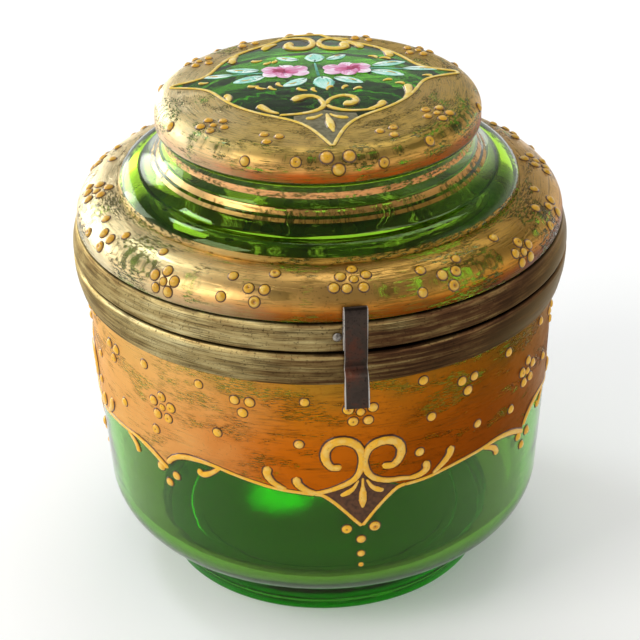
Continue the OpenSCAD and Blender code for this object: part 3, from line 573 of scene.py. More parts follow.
brownGround = grainMaterial("brownGround", rgba(96, 60, 34), rgba(66, 40, 20))
greyGround = grainMaterial("greyGround", rgba(120, 114, 86), rgba(88, 84, 58))
softSolder = grainMaterial("softSolder", rgba(96, 88, 80), rgba(170, 164, 154), metallic=0.6, **castLook)
agedPlaster = grainMaterial("agedPlaster", rgba(176, 162, 136), rgba(214, 204, 182), scale=500.0, roughness=0.9,
                            **castLook)
print("materials made")


# glass bowl and lid

bowl = dict(footR=44, footBevel=0.8, recessR=36, recess=1.0, cornerC=45.5, cornerZ=24.5, cornerR=13.2, bellyR=58.7,
            rimR=60.9, rimZ=89, wallTopZ=80.6, wall=3.2)


def wallRadius(z):
    if z < bowl["cornerZ"]:
        return bowl["cornerC"] + math.sqrt(max(bowl["cornerR"] ** 2 - (bowl["cornerZ"] - z) ** 2, 0))
    t = min((z - bowl["cornerZ"]) / (bowl["wallTopZ"] - bowl["cornerZ"]), 1)
    return bowl["bellyR"] + (bowl["rimR"] - bowl["bellyR"]) * math.sin(math.pi / 2 * t)


wallHeights = np.linspace(bowl["cornerZ"], bowl["wallTopZ"], 34)[1:]
bowlOutline = [(0, bowl["recess"]), (16, bowl["recess"]), (bowl["recessR"] - 3, bowl["recess"] * 0.9)]
bowlOutline += arc(bowl["recessR"], 0, 1.6, bowl["recess"] * 0.7, 150, 0, 6)
bevel = bowl["footBevel"]
bowlOutline += arc(bowl["footR"] - bevel, bevel, bevel, bevel, -90, 0, 6)
bowlOutline += [(44.25, 4.0), (44.5, 7.4), (44.66, 9.2), (44.84, 10.2), (45.2, 10.95), (45.8, 11.3)]
bowlOutline += arc(bowl["cornerC"], bowl["cornerZ"], bowl["cornerR"], bowl["cornerR"], -86, 0, 28)
bowlOutline += [(wallRadius(z), z) for z in wallHeights]
bowlOutline += [(bowl["rimR"], bowl["rimZ"] - 0.6)] + arc(bowl["rimR"] - 0.5, bowl["rimZ"] - 0.5, 0.5, 0.5, 0, 90, 4)
bowlOutline += arc(bowl["rimR"] - bowl["wall"] + 0.5, bowl["rimZ"] - 0.5, 0.5, 0.5, 90, 180, 4)
bowlOutline += [(wallRadius(z) - bowl["wall"], z) for z in wallHeights[::-1]]
inner = bowl["cornerR"] - bowl["wall"]
bowlOutline += arc(bowl["cornerC"], bowl["cornerZ"], inner, inner, 0, -88, 20)
bowlOutline += [(40, 14.45), (30, 14.7), (18, 15.0), (8, 15.15), (0, 15.2)]
glassBowl = lathe("glassBowl", bowlOutline, greenGlass, sharp=50)
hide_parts("glass_bowl")
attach(glassBowl, "box")

lid = dict(rimR=61.0, rimZ=91.4, rimTopZ=97.8, shoulderC=51.5, shoulderZ=98.9, shoulderW=11.1, shoulderH=7.9,
           shoulderFrom=-8.0, tierC=46.1, tierZ=106.8, tierW=5.4, tierH=4.4, neckR=38.9, stepZ=111.2, neckH=10.4,
           discC=35.5, discZ=125.56, discRx=5.7, discRy=4.64, crownZ=131.2, lowerR=1.3, wall=2.9)


def cove(t):
    return (lid["neckR"] + (lid["tierC"] - lid["neckR"]) * (1 - t) ** 2.2, lid["stepZ"] + lid["neckH"] * t ** 1.15)


def discTop(r):
    if r <= lid["discC"]:
        return lid["crownZ"] - (r / lid["discC"]) ** 2
    t = min((r - lid["discC"]) / lid["discRx"], 1)
    return lid["discZ"] + lid["discRy"] * math.sqrt(1 - t * t)


neckZ = lid["stepZ"] + lid["neckH"]
lidOuter = [(lid["rimR"], lid["rimZ"] + 0.4), (lid["rimR"], lid["rimTopZ"])]
lidOuter += arc(lid["shoulderC"], lid["shoulderZ"], lid["shoulderW"], lid["shoulderH"], lid["shoulderFrom"], 90, 34)
lidOuter += arc(lid["tierC"], lid["tierZ"], lid["tierW"], lid["tierH"], 6, 90, 20)
lidOuter += [cove(i / 24) for i in range(1, 25)]
lowerR = lid["lowerR"]
discUnder = arc(lid["discC"] + lid["discRx"] - lowerR, neckZ + lowerR, lowerR, lowerR, -80, 0, 10)
discOver = arc(lid["discC"], lid["discZ"], lid["discRx"], lid["discRy"], 0, 90, 22)
lidOuter += discUnder + discOver + [(r, discTop(r)) for r in (32, 27, 21, 15, 9, 4, 0)]
wall = lid["wall"]
lidInner = [(lid["rimR"] - 0.4, lid["rimZ"]), (lid["rimR"] - bowl["wall"] + 0.4, lid["rimZ"]),
            (lid["rimR"] - bowl["wall"], lid["rimZ"] + 0.4), (lid["rimR"] - bowl["wall"], lid["rimTopZ"])]
lidInner += arc(lid["shoulderC"], lid["shoulderZ"], lid["shoulderW"] - wall - 1.5, lid["shoulderH"] - wall, 0, 90, 20)
lidInner += arc(lid["tierC"] - 0.8 * wall, lid["tierZ"] - 0.6 * wall, lid["tierW"], lid["tierH"] - 0.4 * wall,
                15, 90, 14)
lidInner += [(min(cove(i / 24)[0], 41.2) - wall, cove(i / 24)[1] - 0.3) for i in range(8, 25)]
lidInner += arc(lid["discC"], lid["discZ"], lid["discRx"] - wall, lid["discRy"] - wall, -30, 90, 16)
lidInner += [(r, discTop(r) - wall) for r in (32, 27, 21, 15, 9, 4, 0)]
glassLid = lathe("glassLid", lidOuter[::-1] + lidInner, limeGlass, sharp=50)
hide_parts("glass_lid")
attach(glassLid, "lid")
print("glass made")


# places on the glass: a point and the way out of it, in metres

def facing(azimuth, r, z, slopeR, slopeZ):
    s, c = math.sin(math.radians(azimuth)), -math.cos(math.radians(azimuth))
    length = math.hypot(slopeR, slopeZ)
    return ((r * s * mm, r * c * mm, z * mm), (slopeR * s / length, slopeR * c / length, slopeZ / length))


def onBowl(azimuth, z):
    return facing(azimuth, wallRadius(z), z, 1, wallRadius(z - 0.5) - wallRadius(z + 0.5))


def onShoulder(azimuth, angle):
    c, s = math.cos(math.radians(angle)), math.sin(math.radians(angle))
    return facing(azimuth, lid["shoulderC"] + lid["shoulderW"] * c, lid["shoulderZ"] + lid["shoulderH"] * s,
                  c / lid["shoulderW"], s / lid["shoulderH"])


# the disc from its middle over the edge to the neck, by the length along its skin
discFlat = [(r, discTop(r)) for r in np.linspace(0.01, lid["discC"], 60)[:-1]]
widest = len(discFlat) + len(discOver)    # the path's points as far as the disc's widest place
discPath = np.array(discFlat + discOver[::-1] + discUnder[::-1])
discLength = np.concatenate([[0], np.cumsum(np.linalg.norm(np.diff(discPath, axis=0), axis=1))])


def alongDisc(azimuth, length):
    (r1, z1), (r, z), (r2, z2) = [[np.interp(length + step, discLength, discPath[:, i]) for i in (0, 1)]
                                  for step in (-0.25, 0, 0.25)]
    return facing(azimuth, r, z, z1 - z2, r2 - r1)


def onDisc(x, y):
    r = max(math.hypot(x, y), 0.02)
    return alongDisc(math.degrees(math.atan2(x, -y)), np.interp(r, discPath[:widest, 0], discLength[:widest]))


def turned(x, y, angle):
    c, s = math.cos(math.radians(angle)), math.sin(math.radians(angle))
    return x * c - y * s, x * s + y * c


# the ornament's layout

layout = dict(turn=1.6, pendants=[0, 95, 180, 265], cusps=[50.2, 137.5, 222.5, 310.8], cornerAt=10.6, lidTurn=0.8,
              discTurn=-1.6)
borderLeft = [(0, 48.1), (0.12, 48.7), (0.25, 49.4), (0.38, 50.6), (0.51, 51.8), (0.61, 52.7), (0.75, 53.2),
              (0.87, 52.5), (0.96, 50.4), (1, 48.6)]
borderRight = [(0, 48.4), (0.14, 48.8), (0.31, 50.0), (0.53, 50.9), (0.72, 51.2), (0.88, 49.4), (1, 46.8)]


def cuspsBeside(k):
    # the cusps left and right of pendant k
    return layout["cusps"][k - 1] - (360 if k == 0 else 0), layout["cusps"][k]


def borderRun(k, side, count=60):
    # (azimuth, height) from a pendant's corner to the cusp on that side
    end = cuspsBeside(k)[1 if side > 0 else 0]
    table = np.array(borderRight if side > 0 else borderLeft)
    first = layout["pendants"][k] + side * layout["cornerAt"]
    t = np.linspace(0, 1, count)
    return [(first + (end - first) * u, h) for u, h in zip(t, smoothThrough(table, t))]


def smoothThrough(table, at):
    # a soft curve through every point of the table
    xs, ys = table[:, 0], table[:, 1]
    slope = np.gradient(ys, xs)
    i = np.clip(np.searchsorted(xs, at, side="right") - 1, 0, len(xs) - 2)
    h = xs[i + 1] - xs[i]
    t = (at - xs[i]) / h
    return ((2 * t ** 3 - 3 * t ** 2 + 1) * ys[i] + (t ** 3 - 2 * t ** 2 + t) * h * slope[i]
            + (-2 * t ** 3 + 3 * t ** 2) * ys[i + 1] + (t ** 3 - t ** 2) * h * slope[i + 1])


edgeTable = []
for k in range(4):
    start = layout["pendants"][k]
    edgeTable += borderRun(k, -1)[::-1] + [(start, 53.6)] + borderRun(k, 1)
edgeTable = sorted((a % 360, z) for a, z in edgeTable)
edgeAngles = np.array([edgeTable[-1][0] - 360] + [a for a, z in edgeTable] + [edgeTable[0][0] + 360])
edgeHeights = np.array([edgeTable[-1][1]] + [z for a, z in edgeTable] + [edgeTable[0][1]])

gildingSkin = dict(low=0.004, high=0.03)

bodySkin = dict(columns=1080, rows=16, topZ=81.6)
grid = [[] for _ in range(bodySkin["rows"])]
for k in range(bodySkin["columns"]):
    azimuth = 360 * k / bodySkin["columns"]
    lowZ = np.interp((azimuth - layout["turn"]) % 360, edgeAngles, edgeHeights)
    for row, share in zip(grid, np.linspace(0, 1, bodySkin["rows"])):
        row.append(onBowl(azimuth, bodySkin["topZ"] + (lowZ - bodySkin["topZ"]) * share))
bodyGilding = skinOver("bodyGilding", grid, gildingSkin["low"], gildingSkin["high"], bodyGold)
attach(bodyGilding, "box")

shoulderSkin = dict(columns=360, rows=24, lowAngle=-7.5, highAngle=89.6)
angles = np.linspace(shoulderSkin["highAngle"], shoulderSkin["lowAngle"], shoulderSkin["rows"])
grid = [[onShoulder(a, angle) for a in np.arange(0, 360, 360 / shoulderSkin["columns"])] for angle in angles]
shoulderGilding = skinOver("shoulderGilding", grid, gildingSkin["low"], gildingSkin["high"], shoulderGold)
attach(shoulderGilding, "lid")

# the clear window in the disc's gilding, drawn out to a tip at four sides
window = dict(radius=26.5, shift=5.3, tip=42, side=13, tipFade=7.4, sideFade=4.6, limit=36.9)


def windowPoint(a):
    a = (a + 180) % 360 - 180
    tips = math.exp(-abs(a - 90) / window["tipFade"]) + math.exp(-abs(a + 90) / window["tipFade"])
    sides = math.exp(-abs(a) / window["sideFade"]) + math.exp(-abs(abs(a) - 180) / window["sideFade"])
    rho = window["radius"] + (window["tip"] - window["radius"]) * tips + window["side"] * sides
    x, y = rho * math.cos(math.radians(a)), rho * math.sin(math.radians(a)) + window["shift"]
    keep = min(1, window["limit"] / math.hypot(x, y))
    return turned(x * keep, y * keep, layout["discTurn"])


discSkin = dict(columns=720, rows=28, endZ=123.0)
discEnd = np.interp(-discSkin["endZ"], -discPath[widest - 2:, 1], discLength[widest - 2:])
columns = []
for k in range(discSkin["columns"]):
    x, y = windowPoint(360 * k / discSkin["columns"])
    azimuth = math.degrees(math.atan2(x, -y))
    first = np.interp(math.hypot(x, y), discPath[:widest, 0], discLength[:widest])
    columns.append([alongDisc(azimuth, s) for s in np.linspace(first, discEnd, discSkin["rows"])])
discGilding = skinOver("discGilding", list(zip(*columns)), gildingSkin["low"], gildingSkin["high"], discGold)
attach(discGilding, "lid")

# gold rings painted round the neck and the foot of the tier: where each begins and ends, and its rows
ringLook = dict(neckRing=(0.70, 0.83, 5), middleRing=(0.38, 0.50, 6), stepRing=(0.25, 0.32, 4))
ringOutlines = {name: [cove(t) for t in np.linspace(*rows)] for name, rows in ringLook.items()}
ringOutlines["tierFootRing"] = arc(lid["tierC"], lid["tierZ"], lid["tierW"], lid["tierH"], 0.5, 23, 5)
for name, outline in ringOutlines.items():
    ahead = np.gradient(np.array(outline), axis=0)
    grid = [[facing(a, r, z, dz, -dr) for a in np.arange(0, 360, 1.25)] for (r, z), (dr, dz) in zip(outline, ahead)]
    ring = skinOver(name, grid, gildingSkin["low"], gildingSkin["high"], neckGold)
    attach(ring, "lid")
print("gilding made")


# raised enamel: lines and dots by geometry nodes

enamelSize = dict(lineWidth=1.0, lineHeight=1.0, lineLumps=0.05, dotRadius=1.3, dotSpread=0.06, dotWidth=1.0,
                  dotHeight=0.58)


def startGeometry(name, inputs):
    tree = bpy.data.node_groups.new(name, "GeometryNodeTree")
    tree.interface.new_socket("Geometry", in_out="INPUT", socket_type="NodeSocketGeometry")
    sockets = {label: tree.interface.new_socket(label, in_out="INPUT", socket_type="NodeSocket" + kind).identifier
               for label, kind in inputs.items()}
    tree.interface.new_socket("Geometry", in_out="OUTPUT", socket_type="NodeSocketGeometry")
    return tree, sockets, tree.nodes.new("NodeGroupInput").outputs


def endGeometry(tree, geometry, finish):
    real = addNode(tree, "GeometryNodeRealizeInstances", {"Geometry": geometry}).outputs[0]
    dressed = addNode(tree, "GeometryNodeSetMaterial", {"Geometry": real, "Material": finish}).outputs[0]
    addNode(tree, "NodeGroupOutput", {"Geometry": dressed})


def namedValue(tree, name, kind):
    return addNode(tree, "GeometryNodeInputNamedAttribute", {"Name": name}, data_type=kind).outputs["Attribute"]


def shapeFrom(tree, shape):
    return addNode(tree, "GeometryNodeObjectInfo", {"Object": shape}).outputs["Geometry"]


# strokes: a section is swept along every line, sized by the line's own half width
strokeTree, strokeSockets, given = startGeometry("strokeTree", {
    "Section": "Object", "Finish": "Material", "Line Width": "Float", "Line Height": "Float"})
tree = strokeTree
stretch = vectorFrom(tree, {0: given["Line Height"], 1: given["Line Width"], 2: 1.0})
section = addNode(tree, "GeometryNodeTransform", {
    "Geometry": shapeFrom(tree, given["Section"]), "Scale": stretch}).outputs[0]
sectionCurve = addNode(tree, "GeometryNodeMeshToCurve", {"Mesh": section}).outputs[0]
lineCurve = addNode(tree, "GeometryNodeMeshToCurve", {"Mesh": given["Geometry"]}).outputs[0]
stood = addNode(tree, "GeometryNodeSetCurveNormal", {
    "Curve": lineCurve, "Normal": namedValue(tree, "outward", "FLOAT_VECTOR")}, mode="FREE").outputs[0]
swept = addNode(tree, "GeometryNodeCurveToMesh", {
    "Curve": stood, "Profile Curve": sectionCurve, "Scale": namedValue(tree, "halfWidth", "FLOAT"),
    "Fill Caps": True}).outputs[0]
endGeometry(tree, swept, given["Finish"])

# dots: one of two shapes on every point, pitted where a bubble burst in the firing
dotTree, dotSockets, given = startGeometry("dotTree", {
    "Dome": "Object", "Pitted": "Object", "Finish": "Material", "Dot Width": "Float", "Dot Height": "Float"})
tree = dotTree
pitted = namedValue(tree, "pitted", "BOOLEAN")
whole = addNode(tree, "FunctionNodeBooleanMath", {0: pitted}, operation="NOT").outputs[0]
stand = addNode(tree, "FunctionNodeAlignRotationToVector", {
    "Vector": namedValue(tree, "outward", "FLOAT_VECTOR")}, axis="Z").outputs[0]
stretch = vectorFrom(tree, {0: given["Dot Width"], 1: given["Dot Width"], 2: given["Dot Height"]})
size = vectorOf(tree, "SCALE", stretch, namedValue(tree, "radius", "FLOAT"))
joined = addNode(tree, "GeometryNodeJoinGeometry")
for shape, chosen in (("Dome", whole), ("Pitted", pitted)):
    placed = addNode(tree, "GeometryNodeInstanceOnPoints", {
        "Points": given["Geometry"], "Selection": chosen, "Instance": shapeFrom(tree, given[shape]),
        "Rotation": stand, "Scale": size}).outputs[0]
    tree.links.new(placed, joined.inputs[0])
endGeometry(tree, joined.outputs[0], given["Finish"])


def carrier(name, points, edges, faces, attributes):
    # an object that carries named values on its points
    mesh = bpy.data.meshes.new(name)
    mesh.from_pydata(points, edges, faces)
    for label, (kind, values) in attributes.items():
        layer = mesh.attributes.new(label, kind, "POINT")
        field = "vector" if kind == "FLOAT_VECTOR" else "value"
        layer.data.foreach_set(field, np.array(values, dtype=bool if kind == "BOOLEAN" else float).ravel())
    holder = bpy.data.objects.new(name, mesh)
    bpy.context.scene.collection.objects.link(holder)
    return holder


def grown(name, holder, tree, sockets, values):
    # the modifier's result as a plain mesh of its own
    modifier = holder.modifiers.new("grow", "NODES")
    modifier.node_group = tree
    for label, value in values.items():
        modifier[sockets[label]] = value
    seen = holder.evaluated_get(bpy.context.evaluated_depsgraph_get())
    mesh = bpy.data.meshes.new_from_object(seen)
    holder.modifiers.clear()
    bpy.data.objects.remove(holder)
    work = bmesh.new()
    work.from_mesh(mesh)
    bmesh.ops.recalc_face_normals(work, faces=work.faces)
    work.to_mesh(mesh)
    work.free()
    mesh.shade_smooth()
    mesh.name = name
    piece = bpy.data.objects.new(name, mesh)
    bpy.context.scene.collection.objects.link(piece)
    return piece


def sectionShape(name, rows):
    # rows are (height, across, lift) in shares of the half width
    heights, across, lifts = zip(*rows)
    edges = [(i, (i + 1) % len(rows)) for i in range(len(rows))]
    return carrier(name, [(h, a, 0) for h, a in zip(heights, across)], edges, [],
                   {"lift": ("FLOAT", lifts), "across": ("FLOAT", across)})


def domeShape(name, rows, segments=14):
    # rows are (radius, height, lift) in shares of the dot's radius and height
    points, faces, lifts, rings = [], [], [], []
    for r, z, lift in rows:
        count = segments if r > 0 else 1
        rings.append(range(len(points), len(points) + count))
        turns = [2 * math.pi * k / segments for k in range(count)]
        points += [(r * math.cos(turn), r * math.sin(turn), z) for turn in turns]
        lifts += [lift] * count
    for a, b in zip(rings, rings[1:]):
        for k in range(segments):
            j = (k + 1) % segments
            faces.append(list(dict.fromkeys([a[k % len(a)], a[j % len(a)], b[j % len(b)], b[k % len(b)]])))
    return carrier(name, points, [], faces, {"lift": ("FLOAT", lifts)})


lineSection = sectionShape("lineSection", [
    (-0.2, 0, 0), (-0.08, -1.25, 0), (0.06, -1.3, 0), (0.10, -0.98, 0.05), (0.40, -0.84, 0.8), (0.60, -0.52, 0.95),
    (0.68, 0, 1), (0.60, 0.52, 0.95), (0.40, 0.84, 0.8), (0.10, 0.98, 0.05), (0.06, 1.3, 0), (-0.08, 1.25, 0)])
paintSection = sectionShape("paintSection", [
    (-0.05, 0, 0), (-0.04, -0.7, 0), (0.0, -1.0, 0.2), (0.07, -0.9, 0.8), (0.10, -0.55, 1), (0.09, 0, 1),
    (0.10, 0.55, 1), (0.07, 0.9, 0.8), (0.0, 1.0, 0.2), (-0.04, 0.7, 0)])
domeStock = domeShape("domeStock", [
    (0, 1, 1), (0.5, 0.86, 1), (0.84, 0.46, 0.8), (0.97, 0.1, 0.1), (1.17, 0.03, 0), (1.15, -0.1, 0), (0, -0.15, 0)])
pittedStock = domeShape("pittedStock", [
    (0, 0.42, 0.15), (0.3, 0.66, 0.5), (0.6, 0.86, 1), (0.88, 0.46, 0.8), (0.98, 0.1, 0.1), (1.17, 0.03, 0),
    (1.15, -0.1, 0), (0, -0.15, 0)])


def resampled(run, step):
    # a smooth curve through the points, cut into even steps
    run = np.array(run, float)
    padded = np.vstack([2 * run[0] - run[1], run, 2 * run[-1] - run[-2]])
    dense = []
    for i in range(len(run) - 1):
        p0, p1, p2, p3 = padded[i:i + 4]
        for t in np.linspace(0, 1, 12, endpoint=False):
            dense.append(0.5 * (2 * p1 + (p2 - p0) * t + (2 * p0 - 5 * p1 + 4 * p2 - p3) * t * t
                                + (3 * p1 - p0 - 3 * p2 + p3) * t ** 3))
    dense = np.array(dense + [run[-1]])
    length = np.concatenate([[0], np.cumsum(np.linalg.norm(np.diff(dense, axis=0), axis=1))])
    at = np.linspace(0, length[-1], max(int(length[-1] / step), 4) + 1)
    return np.stack([np.interp(at, length, dense[:, i]) for i in range(2)], 1), at


class Strokes:
    # gathers lines before they are swept in one go
    def __init__(self):
        self.points, self.edges, self.outward, self.half, self.tone, self.along = [], [], [], [], [], []

    def add(self, places, widths, closed=False, tone=0.5, raised=0.0):
        first = len(self.points)
        for i, ((point, normal), width) in enumerate(zip(places, widths)):
            self.points.append([p + n * raised * mm for p, n in zip(point, normal)])
            self.outward.append(normal)
            self.half.append(width * mm)
            self.tone.append(tone)
            self.along.append(i / max(len(places) - 1, 1))
        last = len(self.points) - 1
        self.edges += [(i, i + 1) for i in range(first, last)] + ([(last, first)] if closed else [])

    def grow(self, name, section, finish):
        holder = carrier(name + "Lines", self.points, self.edges, [], {
            "outward": ("FLOAT_VECTOR", self.outward), "halfWidth": ("FLOAT", self.half),
            "tone": ("FLOAT", self.tone), "along": ("FLOAT", self.along)})
        return grown(name, holder, strokeTree, strokeSockets, {
            "Section": section, "Finish": finish, "Line Width": enamelSize["lineWidth"],
            "Line Height": enamelSize["lineHeight"]})


def strokeOn(strokes, run, surface, widths, scale=1.0, step=0.32, tone=0.5, raised=0.0):
    # widths: half widths in millimetres at even places along the run, which ends round
    # scale: millimetres to one unit sideways, where a run goes by degrees
    line, at = resampled([(x * scale, z) for x, z in run], step)
    half = np.interp(at / at[-1], np.linspace(0, 1, len(widths)), widths)
    half = half * (1 + enamelSize["lineLumps"] * np.array([random.uniform(-1, 1) for _ in half]))
    for ends in (at, at[-1] - at):
        half = half * np.sqrt(np.clip(1 - np.clip(1 - ends / np.maximum(half, 0.05), 0, 1) ** 2, 0.02, 1))
    strokes.add([surface(x / scale, z) for x, z in line], half, tone=tone, raised=raised)


random.seed(7)
degree = math.pi * 60.3 / 180    # one degree round the bowl, in millimetres
# lines round a pendant on the bowl, as (degrees from its middle, height)
pendantLook = dict(
    scrollLeft=[(-4.4, 56.1), (-6.8, 56.3), (-8.1, 58.6), (-8.0, 61.3), (-6.4, 63.4), (-3.5, 63.8), (-0.9, 62.2),
                (0.3, 59.1), (0, 55.3), (-1.5, 52.3), (-4.8, 50.3), (-8.3, 49), (-11.2, 48.4)],
    scrollRight=[(5.0, 55.4), (7.6, 55.2), (9.3, 57.2), (9.5, 60), (7.9, 62.2), (5.2, 62.8), (2.4, 61.6), (0.9, 58.6),
                 (1.2, 55), (3, 52.2), (6.3, 50.8), (10, 50.5), (13.9, 49.7)],
    scrollWidths=[0.95, 1.0, 1.15, 1.2, 1.2, 1.15, 1.0, 0.95, 0.85, 0.8, 0.75, 0.65, 0.5],
    sideLeft=[(-11, 48.3), (-8.8, 47.7), (-6.2, 45.4), (-3.6, 42.4), (-1.2, 39.4), (0.4, 37.6)],
    sideRight=[(11, 48.6), (8.8, 47.9), (6.4, 45.6), (3.9, 42.6), (1.8, 39.6), (0.5, 37.7)],
    hooks=[[(-21.4, 55.8), (-21.8, 53.5), (-20.3, 51), (-17.3, 49.3)],
           [(-14.9, 53.3), (-14.6, 51.2), (-12.5, 49.3), (-9.6, 48.3)],
           [(22.7, 56.2), (22.4, 54), (20.7, 51.9), (18, 49.6)],
           [(15.8, 54), (16.2, 51.9), (14.6, 50.5), (11.3, 50.0)]],
    hookWidths=[1.15, 1.05, 0.9, 0.75, 0.5],
    hangLeft=[(-33.6, 52.6), (-36.4, 50.2), (-38.6, 49.3), (-39.5, 50.6)],
    hangRight=[(33.4, 50.7), (35.8, 49.8), (37.6, 48.4), (38.3, 46.4)],
    hangWidths=[0.5, 0.7, 0.85, 0.95],
    drops=[[(0.5, 52.4), (0.5, 49.6), (0.5, 46.4), (0.5, 43.2)],
           [(-0.5, 51.8), (-1.8, 49.4), (-3.9, 47.9), (-4.8, 47.7)],
           [(1.4, 51.8), (2.7, 49.5), (4.6, 48.2), (5.6, 48.1)]],
    dropWidths=[[0.3, 0.4, 1.0, 1.05, 0.3], [0.3, 0.5, 0.8, 0.6], [0.3, 0.5, 0.8, 0.6]],
    sideWidths=[0.55, 0.5, 0.45, 0.5], hangReach=(-49.2, 50.2), borderWidths=[0.5, 0.48, 0.48, 0.5, 0.8, 0.75])

bowlStrokes = Strokes()
look = pendantLook
for k in range(4):
    start = layout["pendants"][k] + layout["turn"]
    runs = [(look[key], look["scrollWidths"], 0.32) for key in ("scrollLeft", "scrollRight")]
    runs += [(look[key], look["sideWidths"], 0.32) for key in ("sideLeft", "sideRight")]
    runs += [(run, look["hookWidths"], 0.32) for run in look["hooks"]]
    # the hanging strokes reach for the cusps, which stand at uneven distances
    for key, cusp, reach in zip(("hangLeft", "hangRight"), cuspsBeside(k), look["hangReach"]):
        stretch = (cusp - layout["pendants"][k]) / reach
        runs.append(([(x * stretch, z) for x, z in look[key]], look["hangWidths"], 0.32))
    runs += [(run, widths, 0.25) for run, widths in zip(look["drops"], look["dropWidths"])]
    for run, widths, step in runs:
        strokeOn(bowlStrokes, [(start + x, z) for x, z in run], onBowl, widths, degree, step)
    for side in (-1, 1):
        run = [(a + layout["turn"], z) for a, z in borderRun(k, side, 24)]
        strokeOn(bowlStrokes, run, onBowl, look["borderWidths"], degree, step=0.5)
bowlLines = bowlStrokes.grow("bowlLines", lineSection, yellowEnamel)
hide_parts("bowl_border", "bowl_scrolls", "bowl_hooks", "bowl_pendant_drops")
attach(bowlLines, "box")

# brown ground inside each pendant, as rows of (height, half width in degrees)
groundSkin = dict(low=0.032, high=0.06)
groundRows = [(53.4, 0.1), (51.6, 1.4), (50.2, 4.2), (49.2, 7.4), (48.2, 9.2), (46.6, 7.6), (44.6, 5.6), (42.4, 3.5),
              (40.2, 1.7), (38.3, 0.2)]
for k in range(4):
    start = layout["pendants"][k] + layout["turn"] + 0.45
    grid = [[onBowl(start + half * t, z) for t in np.linspace(1, -1, 13)] for z, half in groundRows]
    ground = skinOver(f"pendantGround{k + 1}", grid, groundSkin["low"], groundSkin["high"], brownGround, closed=False)
    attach(ground, "box")


def petalDots(count, radius, first):
    turns = [math.radians(first + 360 / count * i) for i in range(count)]
    return [(radius * math.sin(turn), radius * math.cos(turn), 1) for turn in turns]


class Dots:
    # gathers dots before a dome is set on each in one go
    def __init__(self):
        self.points, self.outward, self.radius, self.pitted = [], [], [], []

    def add(self, place, share, pitShare=0.2):
        spread = enamelSize["dotSpread"]
        self.points.append(place[0])
        self.outward.append(place[1])
        self.radius.append(enamelSize["dotRadius"] * share * random.uniform(1 - spread, 1 + spread) * mm)
        self.pitted.append(random.random() < pitShare)

    def grow(self, name, finish):
        holder = carrier(name + "Points", self.points, [], [], {
            "outward": ("FLOAT_VECTOR", self.outward), "radius": ("FLOAT", self.radius),
            "pitted": ("BOOLEAN", self.pitted)})
        return grown(name, holder, dotTree, dotSockets, {
            "Dome": domeStock, "Pitted": pittedStock, "Finish": finish, "Dot Width": enamelSize["dotWidth"],
            "Dot Height": enamelSize["dotHeight"]})


# dots as (place across, height, share of the full size)
six = [(0, 0, 0.8)] + petalDots(5, 3.1, 0)
three = petalDots(3, 2.2, 60)
bowlDotLook = dict(
    underPendant=[(-3.3, 37, 1.05), (3.5, 37.1, 1.15), (0.2, 33.4, 1), (0.2, 28.8, 0.8), (0.2, 25.2, 0.55)],
    underCusp=[(-2.3, 46.5, 1), (2.6, 45.6, 1.05), (0.1, 42.6, 0.95)],
    singles=[(-12.6, 75.1), (14.8, 77.7), (-14.1, 63), (17.1, 66.7), (14.3, 57.2), (-33.6, 63.3), (30.6, 59.5),
             (-37.8, 76), (40.6, 75.6), (43, 57.6)], singleShare=0.95)
bowlDots = Dots()
look = bowlDotLook
for k in range(4):
    start, cusp = (layout[key][k] + layout["turn"] for key in ("pendants", "cusps"))
    for middle, dots in ((start, look["underPendant"]), (cusp, look["underCusp"])):
        for x, z, share in dots:
            bowlDots.add(onBowl(middle + x, z), share)
    groups = [(six, start, 71.8), (six, cusp, 65.2), (three, start - 27, 72.8), (three, start + 27, 73)]
    for group, middle, z in groups:
        for x, dz, share in group:
            bowlDots.add(onBowl(middle + x / degree, z + dz), share)
    for x, z in look["singles"]:
        bowlDots.add(onBowl(start + x, z), look["singleShare"])
bowlBeads = bowlDots.grow("bowlBeads", yellowEnamel)
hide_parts("bowl_pendant_dots", "bowl_flower_dots", "bowl_triple_dots", "bowl_single_dots")
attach(bowlBeads, "box")

# the shoulder's flowers stand high and low by turns
shoulderDots = Dots()
for i in range(8):
    start = layout["lidTurn"] + 45 * i + (random.uniform(-1, 1) if i else 0)
    high = i % 2 == 0
    stretch, flowerAngle = (1.1, 60) if high else (1, 24)
    for x, dz, share in six:
        shoulderDots.add(onShoulder(start + x / degree * stretch, flowerAngle + 5.6 * dz), share)
    for x, dz, share in three:
        shoulderDots.add(onShoulder(start + 22.5 + x / degree, 36 + 6 * dz), share)
    for x, angle in ((-4.8, 48 if high else 66), (14.8, 24), (16.2, 58), (-18.7, 70 if high else 60)):
        shoulderDots.add(onShoulder(start + x, angle), 0.95)
shoulderBeads = shoulderDots.grow("shoulderBeads", amberEnamel)
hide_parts("shoulder_flower_dots", "shoulder_triple_dots", "shoulder_single_dots")
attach(shoulderBeads, "lid")


def onDiscTurned(x, y):
    return onDisc(*turned(x, y, layout["discTurn"]))


def onEdge(azimuth, angle):
    c, s = math.cos(math.radians(angle)), math.sin(math.radians(angle))
    return facing(azimuth, lid["discC"] + lid["discRx"] * c, lid["discZ"] + lid["discRy"] * s,
                  c / lid["discRx"], s / lid["discRy"])


